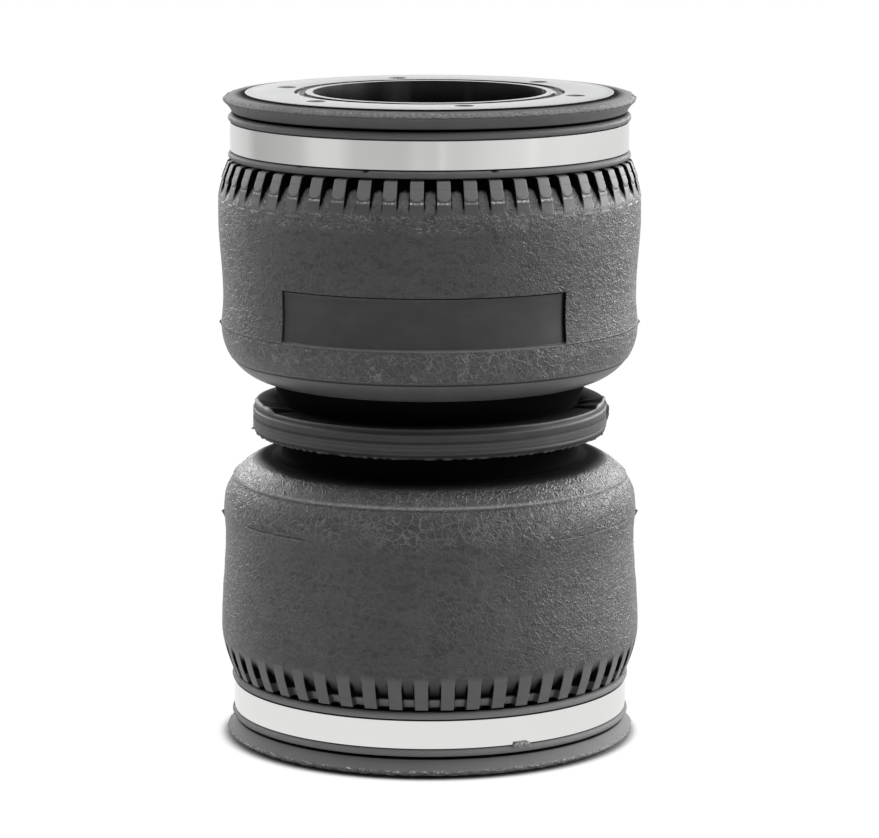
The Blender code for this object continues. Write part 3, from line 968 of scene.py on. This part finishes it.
def wall_edges(upper):
    """Heights of a wall's moulded edges, which need closer rows."""
    ribs = bpy.context.scene.bellows_ribs
    label = bpy.context.scene.bellows_label
    if upper:
        edges = [UPPER_STEP, label.sill - 0.0002, label.sill + 0.0004, label.sill + label.height - 0.0002]
        from_clamp = (ribs.head, ribs.head - 0.0005, ribs.head - 0.001)
        from_clamp += (ribs.tongue, ribs.tongue - 0.0006, ribs.head_crease)
    else:
        edges = [LOWER_RIDGE, LOWER_RIDGE + 0.0009, LOWER_SCAR, LOWER_SCAR + 0.0005]
        from_clamp = (ribs.web - 0.0002, 0.0007)
    return [*edges, *(wall_end - place for place in from_clamp), wall_end - 0.0004]


def convolution_mesh(side):
    """The outer rubber of one convolution, from its neck to the clamp."""
    sizes = bpy.context.scene.bellows_wall
    ribs = bpy.context.scene.bellows_ribs
    label = bpy.context.scene.bellows_label
    upper = side == "upper"
    if upper:
        turn, moulding, seed, shade_end = ribs.upper_turn, upper_moulding, 3, 0.0006
    else:
        turn, moulding, seed, shade_end = ribs.lower_turn, lower_moulding, 4, 0.0019
    rows = wall_rows(wall_edges(upper))
    marks = [0.0, pi, label.start, label.end] if upper else [0.0, pi]
    columns = with_edges(rib_angles(turn), marks, 0.0005 / crown_limit)
    around = wrapped(columns, tau)[None, :]
    s = rows[:, None]
    change, grain, wear, hollow, crumple = moulding(s, around)
    # Painted shade on the shoulder beside the neck, for the shade in the waist's gap
    hollow = np.maximum(hollow, 1 - ease(s, sizes.neck_top + 0.0001, sizes.neck_top + shade_end))
    end_groove = ease(s, wall_end - 0.0004, wall_end) * sizes.end_groove
    soft = unevenness(around, s, 8, seed, 0.03) * 0.00004
    radii = wall_radius(side, s) + change + mould_seams(s, around, seed, NIBS[side]) + soft - end_groove
    radii = np.minimum(radii, crown_limit)

    belly_rows = np.linspace(wall_end, sizes.neck_top + 0.008, 14)
    inner_rows = np.unique([*belly_rows, *shoulder_rows(sizes.neck_top)[::-3], sizes.neck_top])
    inner_r, inner_s = layer_line(side, inner_rows, sizes.cover)
    inner = np.zeros((len(inner_r), radii.shape[1]))
    radii = np.concatenate([radii, inner + inner_r[::-1, None]])
    heights = np.concatenate([rows, inner_s[::-1]])[:, None]
    mesh = placed_half(side, side + "_wall", radii, heights, columns)
    shares = {GRAIN: grain, WEAR_AND_PAINTED_LIGHT: wear, PAINTED_SHADE: hollow, CRUMPLE: crumple}
    whole = {name: np.concatenate([values + inner[:1], inner]) for name, values in shares.items()}
    store_shares(mesh, radii.shape, whole)
    return mesh


def placed_half(side, name, radii, heights, columns):
    """A grid mesh whose heights are distances from the waist towards one side."""
    upper = side == "upper"
    mesh = grid_mesh(name, radii, waist + heights if upper else waist - heights, columns)
    if not upper:
        mesh.flip_normals()
    return mesh


def layer_mesh(side, low, high, outer, inner, columns, steps):
    """One layer of the wall between two distances from the waist and two insets."""
    rows = np.concatenate([spaced(low, high, steps), [row for row in shoulder_rows(low)[::2] if row < high]])
    rows = np.unique(np.round(rows, 6))
    outer_r, outer_s = layer_line(side, rows, outer)
    inner_r, inner_s = layer_line(side, rows, inner)
    radii = np.concatenate([outer_r, inner_r[::-1]])[:, None]
    heights = np.concatenate([outer_s, inner_s[::-1]])[:, None]
    return placed_half(side, side + "_layer", radii, heights, round_angles(columns))


def across_joint(piece, part):
    """Bakes the transform of a wall piece or a neck piece into its mesh; both are treated alike."""
    if part == "wall":
        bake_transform(piece)
    else:
        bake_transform(piece)


class BELLOWS_OT_convolutions(Operator):
    """Adds both grained convolutions with their ribs, pockets and label recess"""

    bl_idname = "bellows.convolutions"
    bl_label = "Convolutions"

    def execute(self, context):
        sizes = context.scene.bellows_wall
        rubber = moulded_rubber("grained_rubber")
        for side in SIDES:
            neck = layer_mesh(side, 0.0002, sizes.neck_top, 0.0, sizes.cover, 200, 0.0007)
            # The whole neck is painted shade, for the shade inside the girdle
            store_shares(neck, len(neck.vertices), {PAINTED_SHADE: 1.0})
            for part, mesh in {"wall": convolution_mesh(side), "neck": neck}.items():
                piece = add_piece(f"{side}_{part}_rubber", mesh, rubber)
                across_joint(piece, part)
                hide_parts(side + "_convolution")
        return {"FINISHED"}


class BELLOWS_OT_wall_layers(Operator):
    """Adds the cord and the liner inside both convolutions"""

    bl_idname = "bellows.wall_layers"
    bl_label = "Wall layers"

    def execute(self, context):
        sizes = context.scene.bellows_wall
        cord_depth = sizes.cover + sizes.layer_gap
        liner_depth = sizes.cover + sizes.cord + 2 * sizes.layer_gap
        smooth = moulded_rubber("liner_rubber_smooth")
        layers = (
            ("cord", "cord_carcass", "cord_carcass", cord_depth, sizes.cord, cord_plies()),
            ("liner", "inner_liner", "liner_rubber", liner_depth, sizes.liner, smooth),
        )
        spans = {"wall": (sizes.neck_top, wall_end), "neck": (0.0002, sizes.neck_top)}
        for side in SIDES:
            for layer, node, slot, depth, thickness, material in layers:
                for part, (low, high) in spans.items():
                    mesh = layer_mesh(side, low, high, depth, depth + thickness, 160, 0.0016)
                    piece = add_piece(f"{side}_{part}_{layer}", mesh, material)
                    across_joint(piece, part)
                    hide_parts(f"{side}_{node}")
        return {"FINISHED"}


def bead_points(middle, half):
    """Half-round bead on the band's seat, as (depth, radius) from deep to shallow."""
    sizes = bpy.context.scene.bellows_clamp
    turns = np.linspace(-pi / 2, pi / 2, 13)
    return [(middle - half * np.sin(turn), sizes.seat + sizes.bead * np.cos(turn) ** 0.7) for turn in turns]


def flank_points():
    """The flange from its root over the tip to the flat face, as (depth, radius)."""
    sizes = bpy.context.scene.bellows_clamp
    root = sizes.seat + 0.0009
    tip = flange_radius
    run = sizes.flange_root - sizes.flange_tip
    points = []
    for t in (*np.linspace(0, 10 / 11, 11), 0.94, 0.97, 1.0):
        points.append((sizes.flange_root - run * t, root + (tip - 0.0003 - root) * t**1.5))
    points += [
        (sizes.flange_tip - 0.0002, tip - 0.0001),
        (sizes.flange_tip - 0.0004, tip),
        (sizes.flange_tip - 0.0006, tip - 0.0001),
        (sizes.flange_tip - 0.0007, tip - 0.0005),
        (sizes.flange_tip - 0.0008, tip - 0.0008),
        (sizes.flange_tip - 0.0010, tip - 0.0009),
        (sizes.flange_tip - 0.0013, tip - 0.0013),
        (sizes.flange_tip - 0.0015, tip - 0.0018),
        (0.00062, sizes.flange_bevel),
        (0.00058, sizes.flange_bevel - 0.001),
    ]
    return points


def collar_outline(inside):
    """Section of a collar from its deep bead to the ring's edge, as (depth, radius)."""
    sizes = bpy.context.scene.bellows_clamp
    root = sizes.flange_root
    bead_half = (collar_end - band_end) / 2 - 0.0001
    return [
        (collar_end, inside),
        *bead_points(collar_end - bead_half, bead_half),
        (band_end - 0.0001, sizes.seat),
        (band_start + 0.0001, sizes.seat),
        *bead_points(band_start - bead_half - 0.0001, bead_half),
        (root + 0.0005, sizes.seat - 0.0006),
        (root + 0.0001, sizes.seat - 0.0005),
        *flank_points(),
        (0.0004, inside + 0.0009),
        (0.0003, inside + 0.0006),
        (0.0001, inside + 0.0002),
        (0.0002, inside),
    ]


def collar_mesh(side):
    """The rubber under the band with its flange, seen from the upper end face."""
    sizes = bpy.context.scene.bellows_clamp
    lower = side == "lower"
    seed = 17 if lower else 11
    inside = ring_radius + 0.00025
    depth, radius = section(collar_outline(inside))
    columns = round_angles(960)
    around = wrapped(columns, tau)[None, :]
    on_face = depth < sizes.flange_tip - 0.0003
    chamfer = ridge(radius, flange_radius - 0.0012, 0.0009) * on_face
    tip = ridge(radius, flange_radius, 0.0011)
    level = 0 * depth
    coarse = unevenness(around, level, 12, seed, 0.0014) + unevenness(around, level, 9, seed + 1, 0.005)
    coarse = coarse * 0.5
    fine = unevenness(around, depth * 3, 14, seed + 3, 0.0011)
    radii = radius + tip * (coarse * 0.00016 - 0.0002)
    heights = depth + tip * unevenness(around, level, 12, seed + 2, 0.0018) * 0.00012
    heights = heights - chamfer * np.clip(fine, 0, 1) * 0.0003
    wear = chamfer * np.clip(0.12 + fine * 0.4, 0.05, 1) + tip * 0.05
    nub = 0
    if lower:
        near_tip = ridge(depth, sizes.flange_tip - 0.0001, 0.0004) * (radius > flange_radius - 0.0025)
        window = ease(around, radians(-66), radians(-65.3))
        window = window * (1 - ease(around, radians(-61.2), radians(-60.5)))
        nub = ridge(depth, band_start - 0.0003, 0.0009) * window
        radii = radii + near_tip * np.clip(fine, -0.5, 1) * 0.00025 + nub * 0.0013
        heights = heights + nub * 0.0009
        wear = wear + near_tip * np.clip(0.15 + fine * 1.3, 0, 1.2) + nub * 0.55
    else:
        for place, cut in NOTCHES:
            notch = np.clip(1 - np.abs(around - radians(place)) * band_radius / 0.0013, 0, 1)
            radii = radii - ridge(depth, band_end + 0.0003, 0.001) * notch * cut
    # The lower flank's extra lightness is a painted reflection of the floor
    lip_worn, bead_worn, flank_wear_and_painted_light = (0.12, 0.24, 0.2) if lower else (0.12, 0.12, 0.09)
    lip = ridge(depth, band_end + 0.0004, 0.0004) * (radius > sizes.seat + 0.0008)
    flank = (depth > sizes.flange_tip) * (depth < sizes.flange_root) * (radius > sizes.seat + 0.0008)
    beads = ease(radius, sizes.seat + 0.0004, sizes.seat + 0.001) * (depth > sizes.flange_root)
    wear = wear + lip * lip_worn + beads * bead_worn + flank * flank_wear_and_painted_light
    bevel = (1 - ease(radius, inside + 0.0002, inside + 0.0008)) * on_face
    # The face's lightness, strongest at the sides, is painted light
    wear = wear + (0.065 + 0.03 * np.clip(fine, 0, 1) + 0.2 * side_share(around)) * on_face * (1 - bevel)
    groove = ridge(depth, sizes.flange_root + 0.0002, 0.0006) * (radius < sizes.seat + 0.002)
    # Painted shade: the bevel beside the ring, the groove at the flange's root and the seat under the band
    # are darkened
    hollow = np.clip(0.9 * bevel + groove + (radius < sizes.seat + 0.0002), 0, 1) * (1 - nub)
    radii = np.minimum(radii, flange_radius)
    mesh = grid_mesh("collar", radii, top_face - heights, columns)
    store_shares(mesh, radii.shape, {WEAR_AND_PAINTED_LIGHT: wear, PAINTED_SHADE: hollow})
    return mesh


class BELLOWS_OT_collars(Operator):
    """Adds the rubber collar under each band, with its flange and ragged flash line"""

    bl_idname = "bellows.collars"
    bl_label = "Bead collars"

    def execute(self, context):
        rubber = moulded_rubber("collar_rubber", streak=0.00001, matt=0.16)
        for side in SIDES:
            mesh = collar_mesh(side)
            if side == "lower":
                mesh.transform(Matrix.Scale(-1, 4, (0, 1, 0)))
                mesh.flip_normals()
            add_end_piece(side, "collar_rubber", mesh, rubber, "bead_collar")
        return {"FINISHED"}


def band_outline():
    """Section of a crimp band with rolled edges and a faint crown, as (radius, depth)."""
    sizes = bpy.context.scene.bellows_clamp
    roll = sizes.band_roll
    inside = sizes.seat + 0.0001
    corners = [(inside, band_end), (band_radius, band_end), (band_radius, band_start), (inside, band_start)]
    steps = 6
    outline = rounded(corners, [roll] * 4, steps)
    face = np.linspace(band_end - roll, band_start + roll, 9)[1:-1]
    face = [band_end - roll - 0.00003, *face, band_start + roll + 0.00003]
    bulge = [(band_radius, place) for place in face]
    first_face = 2 * (steps + 1)
    outline = np.concatenate([outline[:first_face], bulge, outline[first_face:]])
    from_middle = (outline[:, 1] - (band_start + band_end) / 2) / ((band_end - band_start) / 2)
    crown = sizes.band_crown * np.clip(from_middle**2, 0, 1)
    outline[:, 0] -= crown * (outline[:, 0] > inside + 0.0005)
    return outline


class BELLOWS_OT_bands(Operator):
    """Adds the polished crimp bands with their rolled edges"""

    bl_idname = "bellows.bands"
    bl_label = "Crimp bands"

    def execute(self, context):
        roll = context.scene.bellows_clamp.band_roll
        steel = polished_band()
        columns = round_angles(360)
        radius, depth = section(band_outline())
        from_edge = np.minimum(depth - band_start, band_end - depth)
        # Painted shade on the rolled edges, which the band's finish darkens
        painted_edge_shade = 1 - ease(from_edge, roll * 0.7, roll)
        for side in SIDES:
            mesh = grid_mesh("band", radius, top_face - depth, columns)
            store_shares(mesh, (len(depth), len(columns)), {WEAR_AND_PAINTED_LIGHT: painted_edge_shade})
            add_end_piece(side, "clamp_band", mesh, steel, "crimp_band")
        return {"FINISHED"}


def ring_outline():
    """Section of the machined ring, as (radius, depth) corners."""
    sizes = bpy.context.scene.bellows_clamp
    lip = sizes.bore + sizes.lip
    groove = lip + 2 * sizes.seal_radius + 0.0006
    corners = [(sizes.bore, collar_end), (ring_radius, collar_end), (ring_radius, 0.0), (groove, 0.0)]
    corners += [(groove, sizes.groove_depth), (lip, sizes.groove_depth), (lip, 0.0), (sizes.bore, 0.0)]
    return corners


def ring_finish(face):
    """Which finish a face of the ring has: 0 machined, 1 black as painted shade, 2 a tapped hole."""
    sizes = bpy.context.scene.bellows_clamp
    radius = face.center.xy.length
    off_face = waist - abs(face.center.z - waist) > 0.00001
    lip = sizes.bore + sizes.lip
    in_groove = lip - 0.00001 < radius < lip + 2 * sizes.seal_radius + 0.00061 and off_face
    in_hole = abs(radius - sizes.hole_circle) < sizes.hole and off_face and radius < ring_radius - 0.001
    on_edge = radius > ring_radius - 0.00001
    if in_hole:
        return 2
    # The bore, the seal's groove and the ring's outer edge get the black that paints their shade
    return int(radius < sizes.bore + 0.00002 or in_groove or on_edge)


def ring_mesh():
    """The machined ring with its tapped holes cut."""
    sizes = bpy.context.scene.bellows_clamp
    corners = ring_outline()
    radii = [sizes.edge * (0.3 if depth == 0 else 1) for _, depth in corners]
    radius, depth = section(rounded(corners, radii, 3))
    ring = add_object("ring", grid_mesh("ring", radius, top_face - depth, round_angles(288)))
    drill = bmesh.new()
    for index in range(sizes.holes):
        turn = sizes.hole_turn + tau * index / sizes.holes
        tap(drill, sizes.hole_circle * np.cos(turn), sizes.hole_circle * np.sin(turn))
    mesh = bpy.data.meshes.new("tap")
    bmesh.ops.recalc_face_normals(drill, faces=drill.faces)
    drill.to_mesh(mesh)
    drill.free()
    cutter = add_object("tap", mesh)
    cut = ring.modifiers.new("holes", "BOOLEAN")
    cut.object = cutter
    cut.solver = "EXACT"
    bpy.context.view_layer.update()
    graph = bpy.context.evaluated_depsgraph_get()
    made = bpy.data.meshes.new_from_object(ring.evaluated_get(graph))
    bpy.data.objects.remove(ring)
    bpy.data.objects.remove(cutter)
    made.shade_smooth()
    made.set_sharp_from_angle(angle=radians(18))
    return made


def tap(drill, x, y):
    """Adds one threaded hole to the cutter."""
    sizes = bpy.context.scene.bellows_clamp
    thread_root = sizes.hole - 0.0004
    levels = [(0.001, sizes.hole), (-0.0004, sizes.hole)]
    depth = 0.0004 + sizes.thread / 2
    while depth < sizes.hole_depth:
        levels += [(-depth, thread_root), (-depth - sizes.thread / 2, sizes.hole)]
        depth += sizes.thread
    levels += [(-sizes.hole_depth - 0.0002, thread_root), (-sizes.hole_depth - 0.0018, 0.0002)]
    turns = round_angles(28)
    loops = []
    for drop, radius in levels:
        places = [(x + radius * np.cos(turn), y + radius * np.sin(turn), top_face + drop) for turn in turns]
        loops.append([drill.verts.new(place) for place in places])
    for near, far in zip(loops, loops[1:]):
        for index in range(len(turns)):
            after = (index + 1) % len(turns)
            drill.faces.new((near[index], near[after], far[after], far[index]))
    drill.faces.new(loops[0])
    drill.faces.new(loops[-1])


class BELLOWS_OT_end_rings(Operator):
    """Adds the machined end rings with their lips, grooves and tapped holes"""

    bl_idname = "bellows.end_rings"
    bl_label = "End rings"

    def execute(self, context):
        metal = machined_ring()
        others = (painted_shade_black(), tapped_metal())
        for side in SIDES:
            mesh = ring_mesh()
            add_end_piece(side, "end_ring", mesh, metal, "end_plate")
            for material in others:
                mesh.materials.append(material)
            for face in mesh.polygons:
                face.material_index = ring_finish(face)
        return {"FINISHED"}


class BELLOWS_OT_seals(Operator):
    """Adds the seal ring in each face groove"""

    bl_idname = "bellows.seals"
    bl_label = "Face seals"

    def execute(self, context):
        sizes = context.scene.bellows_clamp
        rubber = seal_rubber()
        middle = sizes.bore + sizes.lip + sizes.seal_radius + 0.0003
        depth = sizes.groove_depth - sizes.seal_radius - 0.0001
        turns = np.linspace(-pi / 2, 1.5 * pi, 25)[:-1, None]
        flash = 0.00006 * ridge(np.abs(wrapped(turns * 2, tau)), 0, 0.35)
        radii = middle + (sizes.seal_radius + flash) * np.cos(turns)
        depths_in = depth - (sizes.seal_radius + flash) * np.sin(turns)
        for side in SIDES:
            mesh = grid_mesh("seal", radii, top_face - depths_in, round_angles(240))
            add_end_piece(side, "seal_ring", mesh, rubber, "face_seal")
        return {"FINISHED"}


def girdle_profile():
    """Section of the girdle round its hoop, as (s, radius)."""
    inside = bpy.context.scene.bellows_wall.neck_radius + 0.0002
    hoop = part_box("girdle_hoop")[1]
    hoop_half = hoop.z - waist + 0.0001
    hoop_outside = hoop.x + 0.0001
    top = girdle_half
    moulded = (
        (-top, 0.0016), (-top + 0.0001, 0.0009), (-top + 0.0004, 0.0006),
        (-0.0038, 0.00035), (-0.0033, 0.0003),
        (-0.0031, 0.00005), (-0.0029, 0.0), (-0.0026, 0.00005), (-0.0023, 0.0002), (-0.0020, 0.0001),
        (-0.0015, 0.0), (-0.0009, 0.00008), (-0.0003, 0.0), (0.0003, 0.0001), (0.0006, 0.0002),
        (0.0010, 0.0001), (0.0022, 0.00003), (0.0026, 0.0), (0.0029, 0.0001), (0.0031, 0.0004),
        (0.0037, 0.0005), (top - 0.0004, 0.0006), (top - 0.0001, 0.0007), (top, 0.0013),
    )
    around_hoop = [(hoop_half, inside), (hoop_half, hoop_outside)]
    around_hoop += [(-hoop_half, hoop_outside), (-hoop_half, inside)]
    outside = [(s, girdle_face() - setback) for s, setback in moulded]
    return [(-top, inside), *outside, (top, inside), *around_hoop]


def girdle_face():
    """Radius of the girdle's highest mould lines."""
    return girdle_limit - 0.0001


def girdle_mesh():
    """The rubber ring over the hoop, with the lines of its mould."""
    face = girdle_face()
    s, radius = section(girdle_profile())
    columns = round_angles(720)
    around = wrapped(columns, tau)[None, :]
    level = 0 * s
    outer = ease(radius, face - 0.0018, face - 0.0008)
    low_edge = ridge(s, -girdle_half, 0.0009) * outer
    high_edge = ridge(s, girdle_half, 0.0007) * outer
    ragged = unevenness(around, level, 12, 21, 0.003)
    wavy = unevenness(around, level, 8, 22, 0.02)
    radii = radius + low_edge * (ragged * 0.00025) + high_edge * wavy * 0.00012
    heights = s + outer * unevenness(around, level, 6, 23, 0.05) * 0.00005
    heights = heights - low_edge * np.clip(ragged, 0, 1) * 0.0002
    heights = np.maximum(heights, -girdle_half)
    for place, middle, half, reach in ((pi, -0.0044, 0.0006, 0.0012), (0.0, 0.001, 0.005, 0.001)):
        away = np.abs(wrapped(around - place, tau)) * girdle_limit
        radii = radii + ridge(away, 0, 0.0006) * ridge(s, middle, half) * outer * reach
    tatters = 0.8 + 0.3 * unevenness(around, level, 8, 24, 0.006)
    for middle, half, reach in ((radians(-166), radians(15), 0.0024), (radians(-8), radians(12), 0.0018)):
        torn = ridge(wrapped(around - middle, tau), 0, half) ** 0.25 * tatters
        torn = torn * ridge(s, girdle_half, 0.0004) * ridge(radius, face - 0.0009, 0.0009)
        heights = heights + torn * reach
    mesh = grid_mesh("girdle", radii, waist + heights, columns)
    lines = sum(ridge(s, line, 0.0003) for line in (0.0026, -0.0029, -0.0015, -0.0003))
    # The lighter mould lines and upper edge are painted highlights; the lighter ragged low edge is wear
    wear = 0.05 * lines + low_edge * np.clip(0.06 + ragged * 0.08, 0, 1) + high_edge * 0.05
    # Painted shade inside the ring and along three mould lines
    hollow = (1 - outer) + 0.8 * ridge(s, 0.0034, 0.0006)
    hollow = hollow + 0.8 * ridge(s, -0.0036, 0.0005) + 0.5 * ridge(s, 0.0005, 0.0006)
    store_shares(mesh, radii.shape, {WEAR_AND_PAINTED_LIGHT: wear, PAINTED_SHADE: np.clip(hollow, 0, 1)})
    return mesh


class BELLOWS_OT_girdle(Operator):
    """Adds the waist girdle and finishes the hoop inside it"""

    bl_idname = "bellows.girdle"
    bl_label = "Girdle"

    def execute(self, context):
        rubber = moulded_rubber("girdle_rubber", streak=0.00003, shade=0.7, matt=0.1)
        piece = add_piece("girdle_ring", girdle_mesh(), rubber)
        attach(piece, "girdle")
        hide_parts("girdle_cover")
        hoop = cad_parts["girdle_hoop"]
        hoop.data.materials.clear()
        hoop.data.materials.append(plain_steel())
        return {"FINISHED"}


def studio_world():
    """White surroundings, in which polished metal and gloss see the studio's darker openings."""
    world = bpy.data.worlds.new("studio")
    bpy.context.scene.world = world
    finish = Finish(world)
    direction = finish.node("ShaderNodeTexCoord", {}, {}, "Generated")
    across, depth, up = finish.outputs("ShaderNodeSeparateXYZ", {"Vector": direction}, "X", "Y", "Z")
    bearing = across.math("ARCTAN2", across, 0 - depth) / tau + 0.5
    low = finish.node("ShaderNodeValToRGB", {"stops": HORIZON}, {"Fac": bearing})
    level = finish.mix(finish.step(up, 0.05, 0.5), low, (0.55, 0.55, 0.55))
    rays = ("Is Camera Ray", "Is Glossy Ray", "Is Transmission Ray")
    camera, glossy, through = finish.outputs("ShaderNodeLightPath", {}, *rays)
    soft = finish.mix(finish.step(up, -0.3, 0.6), (0.12, 0.12, 0.12), (0.32, 0.32, 0.32))
    seen = finish.mix(glossy, soft, level)
    seen = finish.mix(camera.math("MAXIMUM", camera, through), seen, WHITE)
    finish.link("Background", {"Color": seen, "Strength": 1.0})


def floor_finish():
    """Pale floor: it keeps the shadow close to the bellows, adds a painted shadow under the flange, and turns
    to the backdrop's white further out.
    """
    finish = Finish(bpy.data.materials.new("pale_floor"))
    place = finish.node("ShaderNodeTexCoord", {}, {}, "Object")
    away = axis_distance(finish, place)
    camera, glossy = finish.outputs("ShaderNodeLightPath", {}, "Is Camera Ray", "Is Glossy Ray")
    # Painted shadow: under the flange the floor is darker and has no glow, and reflections there see the dark
    # floor
    under = 1 - finish.step(away, flange_radius * 0.97, flange_radius * 1.06)
    base = finish.mix(under, (0.8, 0.8, 0.8), (0.3, 0.3, 0.3))
    matt = finish.node("ShaderNodeBsdfDiffuse", {}, {"Color": base})
    open_floor = finish.mix(under, WHITE, BLACK)
    glow = finish.emission(WHITE, 1.0)
    near = finish.added(matt, finish.emission(open_floor, 0.12))
    seen = finish.mixed(finish.step(away, flange_radius, flange_radius * 1.06), near, glow)
    mirrored = finish.mixed(finish.step(away, 0.25, 0.7), finish.emission(WHITE, 0.94), glow)
    mirrored = finish.mixed(under, mirrored, matt)
    bounced = finish.added(matt, finish.emission(open_floor, 0.3))
    lit = finish.mixed(camera, bounced, seen)
    finish.link("Material Output", {"Surface": finish.mixed(glossy, lit, mirrored)})
    return finish.owner


def add_lamp(name, place, size, energy):
    """A soft box that faces the bellows' waist."""
    lamp = bpy.data.lights.new(name, "AREA")
    lamp.shape = "RECTANGLE"
    lamp.size, lamp.size_y = size
    lamp.energy = energy
    item = add_object(name, lamp)
    item.location = place
    item.visible_camera = False
    aim = Vector((0, 0, waist)) - Vector(place)
    item.rotation_euler = aim.to_track_quat("-Z", "Y").to_euler()


class BELLOWS_OT_studio(Operator):
    """Adds the camera, the pale floor, the surroundings and the soft lamps"""

    bl_idname = "bellows.studio"
    bl_label = "Studio"

    def execute(self, context):
        sizes = context.scene.bellows_studio
        context.scene.view_settings.view_transform = "Standard"
        camera = bpy.data.cameras.new("camera")
        camera.lens = sizes.lens
        camera.sensor_width = 36.0
        item = add_object("camera", camera)
        item.location = (0, -sizes.camera_distance, sizes.camera_height)
        item.rotation_euler = (pi / 2 - sizes.camera_dip, 0, sizes.camera_yaw)
        context.scene.camera = item
        disc = bmesh.new()
        bmesh.ops.create_circle(disc, cap_ends=True, segments=128, radius=sizes.floor_radius)
        mesh = bpy.data.meshes.new("floor")
        disc.to_mesh(mesh)
        disc.free()
        mesh.materials.append(floor_finish())
        add_object("floor", mesh)
        studio_world()
        for lamp in LAMPS:
            add_lamp(*lamp)
        return {"FINISHED"}


OPERATORS = (
    BELLOWS_OT_end_rings,
    BELLOWS_OT_seals,
    BELLOWS_OT_bands,
    BELLOWS_OT_collars,
    BELLOWS_OT_convolutions,
    BELLOWS_OT_wall_layers,
    BELLOWS_OT_girdle,
    BELLOWS_OT_studio,
)


class BELLOWS_PT_panel(Panel):
    """Lists the pieces of the bellows"""

    bl_idname = "BELLOWS_PT_panel"
    bl_label = "Air bellows"
    bl_space_type = "VIEW_3D"
    bl_region_type = "UI"
    bl_category = "Bellows"

    def draw(self, context):
        for operator in OPERATORS:
            self.layout.operator(operator.bl_idname)
        for name, group in GROUPS.items():
            box = self.layout.box()
            for field in group.__annotations__:
                box.prop(getattr(context.scene, name), field)


CLASSES = (*GROUPS.values(), *OPERATORS, BELLOWS_PT_panel)


def register():
    for kind in CLASSES:
        bpy.utils.register_class(kind)
    for name, group in GROUPS.items():
        setattr(bpy.types.Scene, name, PointerProperty(type=group))


def unregister():
    for name in GROUPS:
        delattr(bpy.types.Scene, name)
    for kind in reversed(CLASSES):
        bpy.utils.unregister_class(kind)


def main():
    register()
    bpy.ops.bellows.end_rings()
    bpy.ops.bellows.seals()
    bpy.ops.bellows.bands()
    bpy.ops.bellows.collars()
    bpy.ops.bellows.convolutions()
    bpy.ops.bellows.wall_layers()
    bpy.ops.bellows.girdle()
    bpy.ops.bellows.studio()


if __name__ == "__main__":
    main()
